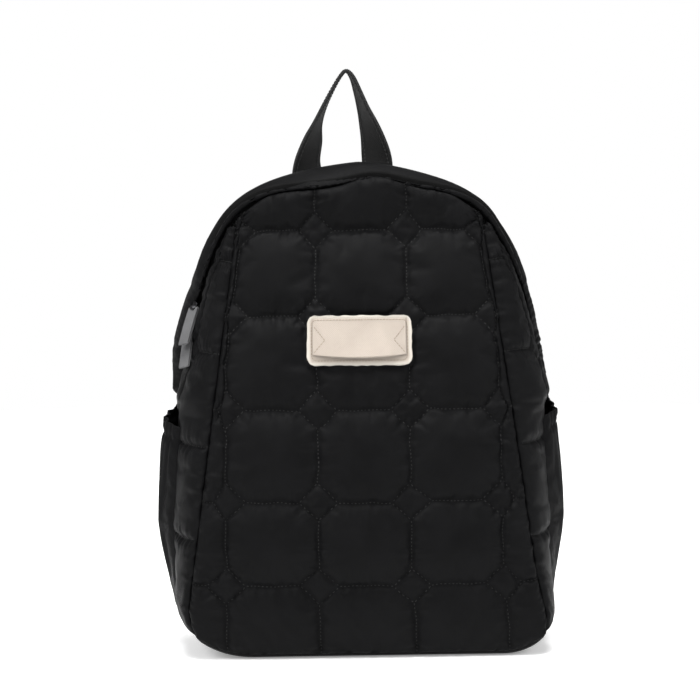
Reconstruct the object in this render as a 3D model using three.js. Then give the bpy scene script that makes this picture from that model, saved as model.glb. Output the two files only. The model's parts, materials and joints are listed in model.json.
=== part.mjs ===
// A quilted nylon day backpack standing on its base: soft walls sewn along seams, an arched zip, a plain
// top gusset, side pockets, a twisted tape handle and two shoulder straps.
// Millimetres, +Z up, the front towards -Y, the origin under the middle of the base.
import * as THREE from "three";

// Body: the walls and the seams that they share
const WALL = 3;
const SEAM_GAP = 0.4; // each wall stops this far short of its seam
const SEAT = 0.3; // clearance of a piece that is sewn onto a wall
const BODY_HEIGHT = 376;
const BODY_HALF_WIDTH = 140;
const BACK_Y = 52;
const FRONT_Y = -58;
const NEUTRAL_Y = 25; // walls behind this thicken forwards, walls before it backwards
const NEUTRAL_SPAN = 27;
const BOTTOM = { halfWidth: 143, corner: 18, edge: 3, flat: 0.6, curl: 2.4, tuck: 4, tuckFrom: 50 };
const TOP_CORNER_HALF_WIDTH = 98.5;
const FRONT_LEAN = 2.2; // power of the front's lean backwards
const DOME = 18;
const SIDE_KNEE = 40; // height up to which the sides and pockets bend most
const SIDE_BOW = { foot: 0.05, low: 0.16, full: 100, high: 0.1, from: 150, to: 230 }; // shares of the depth
const BACK_HALF_WIDTH = { base: 125.4, slope: 0.077 };
const BACK_PAD = { height: 4, border: 4, slope: 40, foot: 60, head: 330 };
const BACK_SHOULDER = 320;

// Arches are superellipses that stand on one foot line
const FOOT = 200;
const SEAM_FOOT = 187; // where the zip runs out into the back seam
const ZIP_ARCH = { a: 121, b: 163, p: 4.3 };
const BACK_ARCH = { a: 140.8, b: 169, p: 2.2 };
const ZIP_FLARE = { out: 24, from: 330, power: 1.3 };
const ZIP_RUN = { front: -14, back: 40, power: 1.5 };
const ZIP = { gap: 6, turn: 0.96, clear: 0.8, sunk: 0.8, under: 2.7, start: 0.09, narrow: 30 };
const GUSSET_BULGE = { height: 14, shoulder: 0.45 };

// Quilting
const QUILT_ROWS = [59, 124, 195, 267, 333];
const QUILT_COLUMNS = [36, 108];
const SIDE_QUILT_ROWS = [94, 166, 238, 310];
const SIDE_QUILT_COLUMNS = [62, 104];
const DIAMOND = 14; // half diagonal
const PUFF = { height: 6.5, reach: 10, edge: 14 };

// Patch on the front
const PATCH = { x: -1.5, z: 246.5, halfWidth: 40.5, halfHeight: 19.5, corner: 6, thick: 1.6, seat: 2.5, margin: 14 };
const BAND = { halfWidth: 36, bottom: -10, sag: 6.5, top: 17, thick: 1.2, lift: 3 };

// Side pockets
const POCKET = { from: 0.58, to: 0.95, bottom: 21, front: 176, back: 198, droop: 2, wall: 2.5, margin: 12 };
const POCKET_BULGE = { most: 12, mouth: 10.5, peak: 0.5, foot: 1.8, round: 2.5 };
const GATHER = { height: 1.2, waves: 4.5 };

// Tapes, straps and fittings
const HANDLE = { width: 25, thick: 2.6, x: -9.5, y: 54.2, steps: 30 };
const HANDLE_LEG = [
  { x: 28.5, z: 355, turn: 0 },
  { x: 28.5, z: 370, turn: 0 },
  { x: 26.5, z: 384, turn: 14 },
  { x: 20.5, z: 409, turn: 45 },
  { x: 12, z: 431, turn: 66 },
  { x: 7.5, z: 442, turn: 75 },
  { x: 4, z: 452, turn: 82 },
];
const HANDLE_PEAK = { x: 0, z: 457, turn: 90 };
const STRAP = { thick: 9, steps: 16 };
const STRAP_RUN = [
  { z: 349, out: 0.4, x: 43, width: 54, thick: 0.35 },
  { z: 338, out: 1.6, x: 43.5, width: 56, thick: 0.7 },
  { z: 300, out: 15, x: 46, width: 58, thick: 1 },
  { z: 250, out: 27, x: 50, width: 58, thick: 1 },
  { z: 200, out: 30, x: 55, width: 57, thick: 1 },
  { z: 155, out: 27, x: 62, width: 54, thick: 1 },
  { z: 122, out: 21, x: 71, width: 40, thick: 0.8 },
];
const ADJUSTER = { width: 34, length: 24, thick: 3, bar: 4, slot: 5.5 };
const WEBBING = { width: 25, thick: 1.6, steps: 8, sewn: 14, endX: 105, endZ: 26 };
const TAB = { width: 10, thick: 1.8, bend: 5, lift: 2.5 };
const TAB_WIDTH_DIRECTION = new THREE.Vector3(0.72, -0.69, 0);
const PULLS = [
  { z: 274, endX: -141, endY: -8, endZ: 243 },
  { z: 254, endX: -143, endY: -10, endZ: 222 },
];
const SLIDER = { length: 10, width: 4.4, base: 1.6, bridge: 4.4 };

const MATERIALS = {
  nylon: new THREE.MeshStandardMaterial({ color: 0x1c1c1e, roughness: 0.55, metalness: 0 }),
  gusset: new THREE.MeshStandardMaterial({ color: 0x19191a, roughness: 0.5, metalness: 0 }),
  webbing: new THREE.MeshStandardMaterial({ color: 0x151516, roughness: 0.7, metalness: 0 }),
  zip: new THREE.MeshStandardMaterial({ color: 0x0a0a0b, roughness: 0.6, metalness: 0 }),
  slider: new THREE.MeshStandardMaterial({ color: 0x1a1a1b, roughness: 0.35, metalness: 0.8 }),
  ribbon: new THREE.MeshStandardMaterial({ color: 0x8f8f92, roughness: 0.8, metalness: 0 }),
  canvas: new THREE.MeshStandardMaterial({ color: 0xe4d9c8, roughness: 0.9, metalness: 0 }),
  plastic: new THREE.MeshStandardMaterial({ color: 0x121213, roughness: 0.4, metalness: 0 }),
};

const bag = new THREE.Group();
const { lerp, clamp, smoothstep, degToRad } = THREE.MathUtils;
const point = (x, y, z) => new THREE.Vector3(x, y, z);

function add(name, geometry, material) {
  geometry.computeVertexNormals();
  const mesh = new THREE.Mesh(geometry, material);
  mesh.name = name;
  bag.add(mesh);
  return mesh;
}

// Values from each knot to the next, with the given number of steps between them.
function ladder(knots, counts) {
  const values = [knots[0]];
  counts.forEach((count, k) => {
    for (let i = 1; i <= count; i++) values.push(lerp(knots[k], knots[k + 1], i / count));
  });
  return values;
}

// A closed solid between an outer and an inner grid of points, turned to face out.
function wallGeometry(outer, inner) {
  const rows = outer.length;
  const columns = outer[0].length;
  const points = [...outer.flat(), ...inner.flat()];
  const at = (i, j, layer) => layer * rows * columns + i * columns + j;
  const index = [];
  const quad = (a, b, c, d) => index.push(a, b, c, a, c, d);
  for (let i = 0; i + 1 < rows; i++) {
    for (let j = 0; j + 1 < columns; j++) {
      quad(at(i, j, 0), at(i, j + 1, 0), at(i + 1, j + 1, 0), at(i + 1, j, 0));
      quad(at(i, j, 1), at(i + 1, j, 1), at(i + 1, j + 1, 1), at(i, j + 1, 1));
    }
    quad(at(i, 0, 0), at(i + 1, 0, 0), at(i + 1, 0, 1), at(i, 0, 1));
    quad(at(i, columns - 1, 0), at(i, columns - 1, 1), at(i + 1, columns - 1, 1), at(i + 1, columns - 1, 0));
  }
  for (let j = 0; j + 1 < columns; j++) {
    quad(at(0, j, 0), at(0, j, 1), at(0, j + 1, 1), at(0, j + 1, 0));
    quad(at(rows - 1, j, 0), at(rows - 1, j + 1, 0), at(rows - 1, j + 1, 1), at(rows - 1, j, 1));
  }
  return facingOut(points, index);
}

function facingOut(points, index) {
  let volume = 0;
  for (let i = 0; i < index.length; i += 3) {
    const [a, b, c] = [points[index[i]], points[index[i + 1]], points[index[i + 2]]];
    volume += a.dot(b.clone().cross(c));
  }
  if (volume < 0) index.reverse();
  return new THREE.BufferGeometry().setFromPoints(points).setIndex(index);
}

// The outward direction of a grid of points at each of them.
function normalsOf(grid) {
  const middle = point(0, 0, BODY_HEIGHT / 2);
  return grid.map((row, i) =>
    row.map((p, j) => {
      const along = grid[Math.min(i + 1, grid.length - 1)][j].clone().sub(grid[Math.max(i - 1, 0)][j]);
      const across = row[Math.min(j + 1, row.length - 1)].clone().sub(row[Math.max(j - 1, 0)]);
      const normal = along.cross(across).normalize();
      return normal.dot(p.clone().sub(middle)) < 0 ? normal.negate() : normal;
    }),
  );
}

const raised = (grid, normals, height) =>
  grid.map((row, i) => row.map((p, j) => p.clone().addScaledVector(normals[i][j], height(p, i, j))));

// One map moves every wall's inner side in, so that the walls meet in a mitre along each seam.
function inward(p, depth) {
  return point(
    p.x * (1 - depth / BODY_HALF_WIDTH),
    p.y - depth * clamp((p.y - NEUTRAL_Y) / NEUTRAL_SPAN, -1, 1),
    p.z + depth * (1 - (2 * p.z) / BODY_HEIGHT),
  );
}

function softWall(name, grid, relief, material) {
  const outer = raised(grid, normalsOf(grid), relief);
  const inner = grid.map((row) => row.map((p) => inward(p, WALL)));
  return add(name, wallGeometry(outer, inner), material);
}

// Curves of the body
const archHalfWidth = (arch, z) => arch.a * Math.max(0, 1 - ((z - FOOT) / arch.b) ** arch.p) ** (1 / arch.p);
const archHeight = (arch, x) => FOOT + arch.b * Math.max(0, 1 - Math.abs(x / arch.a) ** arch.p) ** (1 / arch.p);

function archPoint(arch, angle) {
  const across = Math.abs(Math.cos(angle) / arch.a) ** arch.p;
  const up = Math.abs(Math.sin(angle) / arch.b) ** arch.p;
  const radius = (across + up) ** (-1 / arch.p);
  return { x: radius * Math.cos(angle), z: FOOT + radius * Math.sin(angle) };
}

const TOP_CORNER = archHeight(ZIP_ARCH, TOP_CORNER_HALF_WIDTH);
const ZIP_TOP = FOOT + ZIP_ARCH.b;
const flare = (z) =>
  ZIP_FLARE.out * Math.max(0, (ZIP_FLARE.from - z) / (ZIP_FLARE.from - FOOT)) ** ZIP_FLARE.power;
const zipY = (z) => lerp(ZIP_RUN.front, ZIP_RUN.back, Math.max(0, (ZIP_TOP - z) / ZIP_ARCH.b) ** ZIP_RUN.power);
const edgeRise = (u) => BOTTOM.edge + (BOTTOM.corner - BOTTOM.edge) * cornerCurl(u);
const cornerCurl = (u) => clamp((Math.abs(u) - BOTTOM.flat) / (1 - BOTTOM.flat), 0, 1) ** BOTTOM.curl;

function frontHalfWidth(z) {
  const straight = lerp(BOTTOM.halfWidth, TOP_CORNER_HALF_WIDTH, (z - BOTTOM.corner) / (TOP_CORNER - BOTTOM.corner));
  const low = Math.max(0, (BOTTOM.tuckFrom - z) / (BOTTOM.tuckFrom - BOTTOM.corner));
  return straight - BOTTOM.tuck * low ** 2;
}
const frontSeamY = (z) => FRONT_Y + (zipY(TOP_CORNER) - FRONT_Y) * (z / TOP_CORNER) ** FRONT_LEAN;
const backHalfWidth = (z) =>
  z < FOOT ? BACK_HALF_WIDTH.base + BACK_HALF_WIDTH.slope * z : archHalfWidth(BACK_ARCH, z);

// A point of the zip's gap: across 0 is the quilted side of the gap, across 1 is the gusset's.
function zipPoint(angle, across) {
  const inner = archPoint(ZIP_ARCH, angle);
  const side = Math.sign(inner.x) || 1;
  const width = across * ZIP.gap * clamp(0.2 + (0.8 * (inner.z - FOOT)) / ZIP.narrow, 0.2, 1);
  const turn = ZIP.turn * Math.cos(angle) ** 2;
  return point(
    inner.x + side * flare(inner.z) + width * Math.cos(turn) * Math.cos(angle),
    zipY(inner.z) + width * Math.sin(turn),
    inner.z + width * Math.cos(turn) * Math.sin(angle),
  );
}

// The height of a quilted surface above its stitch lines: cells with clipped corners, and a diamond
// where two lines cross.
function quilt(x, z, columns, rows) {
  const nearest = (value, lines) => Math.min(...lines.map((line) => Math.abs(value - line)));
  const dx = nearest(x, columns);
  const dz = nearest(z, rows);
  const toDiamond = Math.abs(dx + dz - DIAMOND) / Math.SQRT2;
  const inDiamond = dx + dz < DIAMOND;
  const toLine = inDiamond ? Infinity : Math.min(dx > DIAMOND ? dz : Infinity, dz > DIAMOND ? dx : Infinity);
  return PUFF.height * (1 - Math.exp(-Math.min(toDiamond, toLine) / PUFF.reach));
}

// Front panel
const FRONT_COLUMNS = ladder([-3, -2, -1, 1, 2, 3], [2, 5, 6, 5, 2]);
const FRONT_LEVELS = ladder([0, 1, 2, 3, 4, 5, 6], [5, 6, 6, 6, 6, 3]);

function frontPoint(level, column) {
  const at = (knots, value) => {
    const k = Math.min(Math.floor(value), knots.length - 2);
    return lerp(knots[k], knots[k + 1], value - k);
  };
  const edgeZ = at([BOTTOM.corner + SEAM_GAP, ...QUILT_ROWS, TOP_CORNER], level);
  const width = frontHalfWidth(edgeZ) - SEAM_GAP;
  const outerColumn = Math.min(QUILT_COLUMNS[1], width - 6);
  const x = Math.sign(column) * at([0, QUILT_COLUMNS[0], outerColumn, width], Math.abs(column));
  const u = x / width;
  const top = archHeight(ZIP_ARCH, u * TOP_CORNER_HALF_WIDTH);
  const z = at([edgeRise(u) + SEAM_GAP, ...QUILT_ROWS, top], level);
  const v = (edgeZ - BOTTOM.corner) / (TOP_CORNER - BOTTOM.corner);
  const dome = DOME * (1 - u * u) * (1 - (1 - v) ** 8) * (1 - v * v);
  const toZip = (zipY(top) - zipY(TOP_CORNER)) * clamp(level - 5, 0, 1) ** 2;
  return point(x, frontSeamY(edgeZ) - dome + toZip, z);
}

function frontRelief(p, level, column) {
  const beside = Math.abs(p.x - PATCH.x) - PATCH.halfWidth - PATCH.margin;
  const above = Math.abs(p.z - PATCH.z) - PATCH.halfHeight - PATCH.margin;
  if (Math.max(beside, above) < 0) return PATCH.seat;
  const columns = QUILT_COLUMNS.flatMap((x) => [-x, x]);
  const toSide = frontHalfWidth(Math.min(p.z, TOP_CORNER)) - Math.abs(p.x);
  const toTop = archHeight(ZIP_ARCH, p.x) - p.z;
  const fade = smoothstep(Math.min(toSide, p.z - BOTTOM.edge, toTop), 1, PUFF.edge);
  return fade * quilt(p.x, p.z, columns, QUILT_ROWS);
}

const frontGrid = FRONT_LEVELS.map((level) => FRONT_COLUMNS.map((column) => frontPoint(level, column)));
softWall("front_panel", frontGrid, frontRelief, MATERIALS.nylon);

// Side panels: from the front seam to the back seam, and above the zip's foot to the zip
const SIDE_TOP = TOP_CORNER - 6;
const SIDE_ROWS = ladder(
  [BOTTOM.corner + SEAM_GAP, SIDE_KNEE, SEAM_FOOT, FOOT, SIDE_TOP],
  [2, 8, 1, 9],
);
const SIDE_COLUMNS = 12;

function sideBackEdge(z) {
  const onZip = (height) => point(archHalfWidth(ZIP_ARCH, height) + flare(height), zipY(height), height);
  if (z >= FOOT) return onZip(z);
  if (z <= SEAM_FOOT) return point(backHalfWidth(z), BACK_Y, z);
  const seam = point(backHalfWidth(SEAM_FOOT), BACK_Y, SEAM_FOOT);
  return seam.lerp(onZip(FOOT), (z - SEAM_FOOT) / (FOOT - SEAM_FOOT));
}

function sidePoint(z, t) {
  const front = point(frontHalfWidth(z), frontSeamY(z), z);
  const chord = sideBackEdge(z).sub(front);
  const out = point(chord.y, -chord.x, 0).normalize();
  const rise = clamp((z - BOTTOM.corner) / (SIDE_BOW.full - BOTTOM.corner), 0, 1);
  const low = lerp(SIDE_BOW.foot, SIDE_BOW.low, rise);
  const share = lerp(low, SIDE_BOW.high, smoothstep(z, SIDE_BOW.from, SIDE_BOW.to));
  const bow = share * chord.length() * 4 * t * (1 - t);
  return front.addScaledVector(chord, t).addScaledVector(out, bow);
}

const sideDepth = (z) => sideBackEdge(z).distanceTo(point(frontHalfWidth(z), frontSeamY(z), z));
const mirrored = (p, side) => point(side * p.x, p.y, p.z);

function sideRelief(p, t) {
  const depth = sideDepth(p.z);
  const underPocket = p.z < POCKET.back + POCKET.margin && t * depth > POCKET.from * depth - POCKET.margin;
  if (underPocket) return 0;
  const toEdge = Math.min(t * depth, (1 - t) * depth, SIDE_TOP - p.z, p.z - BOTTOM.corner);
  return smoothstep(toEdge, 1, PUFF.edge) * quilt(t * depth, p.z, SIDE_QUILT_COLUMNS, SIDE_QUILT_ROWS);
}

const SIDES = [
  { name: "left", sign: -1 },
  { name: "right", sign: 1 },
];

for (const { name, sign } of SIDES) {
  const shares = SIDE_ROWS.map((z) => {
    const inset = SEAM_GAP / sideDepth(z);
    return ladder([inset, z < FOOT ? 1 - inset : 1], [SIDE_COLUMNS]);
  });
  const grid = SIDE_ROWS.map((z, i) => shares[i].map((t) => mirrored(sidePoint(z, t), sign)));
  softWall("side_panel_" + name, grid, (p, i, j) => sideRelief(p, shares[i][j]), MATERIALS.nylon);
}

// Top gusset and zip, sampled at the same angles round the arch
const ARCH_STEPS = 48;
const GUSSET_COLUMNS = 6;
const FOOT_TUCK = 0.3; // the angle over which the gusset runs down to its foot on the back seam
const BULGE_RISE = 0.06;

function gussetBack(angle) {
  const on = archPoint(BACK_ARCH, angle);
  const fromFoot = Math.min(angle, Math.PI - angle);
  const z = on.z - (FOOT - SEAM_FOOT) * Math.max(0, 1 - fromFoot / FOOT_TUCK) ** 2;
  const x = z < FOOT ? Math.sign(on.x) * backHalfWidth(z) : on.x;
  return point(x, BACK_Y, z);
}

function gussetPoint(angle, share) {
  const front = zipPoint(angle, 1);
  const span = gussetBack(angle).sub(front);
  const width = span.length();
  const t = share * (1 - SEAM_GAP / width);
  const fromFoot = Math.min(angle, Math.PI - angle);
  const fullness = 1 - GUSSET_BULGE.shoulder * Math.abs(Math.sin(2 * angle));
  const height = Math.min(GUSSET_BULGE.height * fullness, width / 2);
  const bulge = height * smoothstep(fromFoot, 0, BULGE_RISE) * 4 * t * (1 - t);
  return front
    .addScaledVector(span, t)
    .addScaledVector(point(Math.cos(angle), 0, Math.sin(angle)), bulge);
}

const gussetEnd = SEAM_GAP / BACK_ARCH.a;
const gussetAngles = ladder([gussetEnd, Math.PI - gussetEnd], [ARCH_STEPS]);
const gussetShares = ladder([0, 1], [GUSSET_COLUMNS]);
const gussetGrid = gussetAngles.map((angle) => gussetShares.map((share) => gussetPoint(angle, share)));
softWall("top_gusset", gussetGrid, () => 0, MATERIALS.gusset);

const zipInset = ZIP.clear / ZIP.gap;
const zipAngles = gussetAngles.filter((angle) => Math.min(angle, Math.PI - angle) > ZIP.start);
const zipGrid = zipAngles.map((angle) => [zipInset, 1 - zipInset].map((across) => zipPoint(angle, across)));
const zipLayer = (depth) => zipGrid.map((row) => row.map((p) => inward(p, depth)));
add("zip", wallGeometry(zipLayer(ZIP.sunk), zipLayer(ZIP.under)), MATERIALS.zip);

// Base panel, flat in its middle, curling up to the seams
const BASE_SHARES = [0, 0.0625, 0.125, 0.5, 0.875, 0.9375, 1];
const BASE_COLUMNS = [-1, -0.9, -0.8, -0.7, -0.6, -0.3, 0, 0.3, 0.6, 0.7, 0.8, 0.9, 1];
const BASE_FLAT = 0.75; // share of the depth that lies flat on the floor
const baseInsetY = SEAM_GAP / (BACK_Y - FRONT_Y);

function basePoint(share, column) {
  const v = lerp(baseInsetY, 1 - baseInsetY, share);
  const edge = sidePoint(BOTTOM.corner, v);
  const endCurl = clamp((Math.abs(2 * share - 1) - BASE_FLAT) / (1 - BASE_FLAT), 0, 1) ** 2;
  const sideCurl = cornerCurl(column);
  return point(
    column * (edge.x - SEAM_GAP),
    edge.y,
    BOTTOM.corner * sideCurl + BOTTOM.edge * (1 - sideCurl) * endCurl,
  );
}

const baseGrid = BASE_SHARES.map((share) => BASE_COLUMNS.map((column) => basePoint(share, column)));
softWall("base_panel", baseGrid, () => 0, MATERIALS.nylon);

// Back panel, with its padding slightly domed
const BACK_ROWS = ladder([0, 1], [14]);
const BACK_COLUMNS = ladder([-1, 1], [14]);

function backPoint(v, u) {
  const edgeZ = lerp(BOTTOM.corner, BACK_SHOULDER, v);
  const x = u * (backHalfWidth(edgeZ) - SEAM_GAP);
  const top = archHeight(BACK_ARCH, u * backHalfWidth(BACK_SHOULDER)) - SEAM_GAP;
  return point(x, BACK_Y, lerp(edgeRise(u) + SEAM_GAP, top, v));
}

function backPad(p) {
  const fromSide = backHalfWidth(p.z) - Math.abs(p.x) - BACK_PAD.border;
  const rise = (distance) => smoothstep(distance, 0, BACK_PAD.slope);
  return BACK_PAD.height * rise(fromSide) * rise(p.z - BACK_PAD.foot) * rise(BACK_PAD.head - p.z);
}

const backGrid = BACK_ROWS.map((v) => BACK_COLUMNS.map((u) => backPoint(v, u)));
softWall("back_panel", backGrid, backPad, MATERIALS.nylon);

// Side pockets: gathered cloth standing off the side panels, open at the top, the mouth rising to the back
const POCKET_LEVELS = ladder([-1, 0, 1], [2, 8]); // from the bottom past the side's foot to the mouth
const POCKET_SHARES = ladder([0, 1], [18]);
const pocketAcross = (share) => 1 - Math.abs(2 * share - 1) ** POCKET_BULGE.round;

function pocketHeight(level, share) {
  if (level < 0) return lerp(SIDE_KNEE, POCKET.bottom, -level);
  const mouth = lerp(POCKET.front, POCKET.back, share) - POCKET.droop * pocketAcross(share);
  return lerp(SIDE_KNEE, mouth, level);
}

function pocketLift(share, z) {
  const { most, mouth, peak, foot } = POCKET_BULGE;
  const v = (z - POCKET.bottom) / (POCKET.back - POCKET.bottom);
  const bulge = v < peak ? most * (1 - (1 - v / peak) ** foot) : lerp(most, mouth, ((v - peak) / (1 - peak)) ** 2);
  const gather = GATHER.height * Math.sin(share * GATHER.waves * 2 * Math.PI) * smoothstep(v, 0.05, 0.4);
  return SEAT + pocketAcross(share) * (bulge + gather);
}

for (const { name, sign } of SIDES) {
  const grid = POCKET_LEVELS.map((level) =>
    POCKET_SHARES.map((share) => {
      const side = sidePoint(pocketHeight(level, share), lerp(POCKET.from, POCKET.to, share));
      return mirrored(side, sign);
    }),
  );
  const normals = normalsOf(grid);
  const layer = (depth) => raised(grid, normals, (p, i, j) => depth + pocketLift(POCKET_SHARES[j], p.z));
  add("side_pocket_" + name, wallGeometry(layer(POCKET.wall), layer(0)), MATERIALS.nylon);
}

// Patch and its band, which follow the front panel
const frontRowAt = (z) => {
  const knot = QUILT_ROWS.findIndex((row) => row > z);
  return knot + (z - QUILT_ROWS[knot - 1]) / (QUILT_ROWS[knot] - QUILT_ROWS[knot - 1]);
};

function onFront(x, z) {
  const level = frontRowAt(z);
  const column =
    Math.abs(x) < QUILT_COLUMNS[0]
      ? x / QUILT_COLUMNS[0]
      : Math.sign(x) * (1 + (Math.abs(x) - QUILT_COLUMNS[0]) / (QUILT_COLUMNS[1] - QUILT_COLUMNS[0]));
  return frontPoint(level, column);
}

function sewnOn(name, grid, lift, thick) {
  const normals = normalsOf(grid);
  const layer = (extra) => raised(grid, normals, (p, i, j) => lift(i, j) + extra);
  add(name, wallGeometry(layer(thick), layer(0)), MATERIALS.canvas);
}

const patchStraight = PATCH.halfHeight - PATCH.corner;
const PATCH_ROWS = ladder(
  [-PATCH.halfHeight, -patchStraight, patchStraight, PATCH.halfHeight],
  [3, 2, 3],
);
const patchGrid = PATCH_ROWS.map((dz) => {
  const intoCorner = Math.max(0, Math.abs(dz) - patchStraight);
  const halfWidth = PATCH.halfWidth - PATCH.corner + Math.sqrt(PATCH.corner ** 2 - intoCorner ** 2);
  return ladder([-halfWidth, halfWidth], [8]).map((dx) => onFront(PATCH.x + dx, PATCH.z + dz));
});
sewnOn("patch", patchGrid, () => PATCH.seat + SEAT, PATCH.thick);

const BAND_SHARES = ladder([-1, 1], [8]);
const bandGrid = ladder([0, 1], [4]).map((rise) =>
  BAND_SHARES.map((share) => {
    const bottom = BAND.bottom - BAND.sag * (1 - share ** 2);
    return onFront(PATCH.x + share * BAND.halfWidth, PATCH.z + lerp(bottom, BAND.top, rise));
  }),
);
const bandLift = (i, j) => BAND.lift * (1 - BAND_SHARES[j] ** 2) * (1 - i / 4) ** 2;
sewnOn("patch_band", bandGrid, (i, j) => PATCH.seat + PATCH.thick + 2 * SEAT + bandLift(i, j), BAND.thick);

// Tapes and straps: a section carried along rows of { at, across, width, thick }
const FLAT_SECTION = [
  [-0.5, -0.5],
  [0.5, -0.5],
  [0.5, 0.5],
  [-0.5, 0.5],
];
const PADDED_SECTION = Array.from({ length: 12 }, (_, k) => {
  const angle = ((k + 0.5) * Math.PI) / 6;
  const soft = (value, power) => (Math.sign(value) * Math.abs(value) ** power) / 2;
  return [soft(Math.cos(angle), 0.4), soft(Math.sin(angle), 0.8)];
});

function sweep(rows, section) {
  const sides = section.length;
  const points = rows.flatMap((row, i) => {
    const before = rows[Math.max(i - 1, 0)].at;
    const along = rows[Math.min(i + 1, rows.length - 1)].at.clone().sub(before).normalize();
    const across = row.across.clone().addScaledVector(along, -row.across.dot(along)).normalize();
    const out = along.cross(across);
    return section.map(([w, t]) =>
      row.at.clone().addScaledVector(across, w * row.width).addScaledVector(out, t * row.thick),
    );
  });
  const index = [];
  for (let i = 0; i + 1 < rows.length; i++) {
    for (let k = 0; k < sides; k++) {
      const [a, b] = [i * sides + k, i * sides + ((k + 1) % sides)];
      index.push(a, b, b + sides, a, b + sides, a + sides);
    }
  }
  const last = (rows.length - 1) * sides;
  for (let k = 1; k + 1 < sides; k++) index.push(0, k + 1, k, last, last + k, last + k + 1);
  return facingOut(points, index);
}

// Named columns of a table, read smoothly at a share of its length.
function readTable(table, share) {
  const place = share * (table.length - 1);
  const k = Math.min(Math.floor(place), table.length - 2);
  const row = (i) => table[clamp(i, 0, table.length - 1)];
  const read = (key) => {
    const [p, a, b, n] = [row(k - 1)[key], row(k)[key], row(k + 1)[key], row(k + 2)[key]];
    const t = place - k;
    const bend = (2 * p - 5 * a + 4 * b - n) * t * t + (3 * (a - b) + n - p) * t ** 3;
    return a + 0.5 * ((b - p) * t + bend);
  };
  return Object.fromEntries(Object.keys(table[0]).map((key) => [key, read(key)]));
}

// Handle: a tape loop, flat where it is sewn on and turned edge-on at its peak
const handleLoop = [
  ...HANDLE_LEG.map((row) => ({ ...row, x: -row.x, turn: 180 - row.turn })),
  HANDLE_PEAK,
  ...HANDLE_LEG.toReversed(),
];
const handleRows = ladder([0, 1], [HANDLE.steps]).map((share) => {
  const { x, z, turn } = readTable(handleLoop, share);
  const angle = degToRad(turn);
  const across = point(Math.cos(angle), -Math.sin(angle), 0);
  return { at: point(HANDLE.x + x, HANDLE.y, z), across, width: HANDLE.width, thick: HANDLE.thick };
});
add("handle", sweep(handleRows, FLAT_SECTION), MATERIALS.webbing);

// Shoulder straps, each with an adjuster frame and a webbing tail sewn low on the back
for (const { name, sign } of SIDES) {
  const face = BACK_Y + BACK_PAD.height;
  const strapRows = ladder([0, 1], [STRAP.steps]).map((share) => {
    const row = readTable(STRAP_RUN, share);
    const thick = STRAP.thick * row.thick;
    const seat = BACK_Y + backPad(point(row.x, BACK_Y, row.z));
    const y = lerp(seat, face, smoothstep(share, 0, 0.3)) + SEAT + row.out + thick / 2;
    return { at: point(sign * row.x, y, row.z), across: point(1, 0, 0), width: row.width, thick };
  });
  add("shoulder_strap_" + name, sweep(strapRows, PADDED_SECTION), MATERIALS.nylon);

  const strapEnd = strapRows.at(-1).at;
  const down = strapEnd.clone().sub(strapRows.at(-2).at).normalize();
  const up = down.clone().negate();
  const right = point(up.z, 0, -up.x).normalize();
  const centre = strapEnd.clone().addScaledVector(down, ADJUSTER.length / 2 + SEAT);

  const frame = new THREE.Shape(
    [
      [-1, -1],
      [1, -1],
      [1, 1],
      [-1, 1],
    ].map(([x, y]) => new THREE.Vector2((x * ADJUSTER.width) / 2, (y * ADJUSTER.length) / 2)),
  );
  const slotHalfWidth = ADJUSTER.width / 2 - ADJUSTER.bar;
  for (const middle of [-ADJUSTER.slot, ADJUSTER.slot]) {
    const [low, high] = [middle - ADJUSTER.slot / 2, middle + ADJUSTER.slot / 2];
    frame.holes.push(
      new THREE.Path([
        new THREE.Vector2(-slotHalfWidth, low),
        new THREE.Vector2(-slotHalfWidth, high),
        new THREE.Vector2(slotHalfWidth, high),
        new THREE.Vector2(slotHalfWidth, low),
      ]),
    );
  }
  const plate = new THREE.ExtrudeGeometry(frame, { depth: ADJUSTER.thick, bevelEnabled: false });
  plate.translate(0, 0, -ADJUSTER.thick / 2);
  const adjuster = add("strap_adjuster_" + name, plate, MATERIALS.plastic);
  adjuster.quaternion.setFromRotationMatrix(new THREE.Matrix4().makeBasis(right, up, right.clone().cross(up)));
  adjuster.position.copy(centre);

  const tailStart = centre.clone().addScaledVector(down, ADJUSTER.length / 2 + SEAT);
  const foot = point(sign * WEBBING.endX, BACK_Y + SEAT + WEBBING.thick / 2, WEBBING.endZ);
  const slant = tailStart.clone().sub(foot).setY(0).normalize();
  const flatFrom = foot.clone().addScaledVector(slant, WEBBING.sewn);
  const bend = tailStart.clone().addScaledVector(down, tailStart.distanceTo(flatFrom) / 2);
  const path = [...new THREE.QuadraticBezierCurve3(tailStart, bend, flatFrom).getPoints(WEBBING.steps), foot];
  const flatAcross = point(slant.z, 0, -slant.x);
  const tailRows = path.map((at, i) => ({
    at,
    across: right.clone().lerp(flatAcross, Math.min(1, i / WEBBING.steps)),
    width: WEBBING.width,
    thick: WEBBING.thick,
  }));
  add("strap_webbing_" + name, sweep(tailRows, FLAT_SECTION), MATERIALS.webbing);
}

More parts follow.
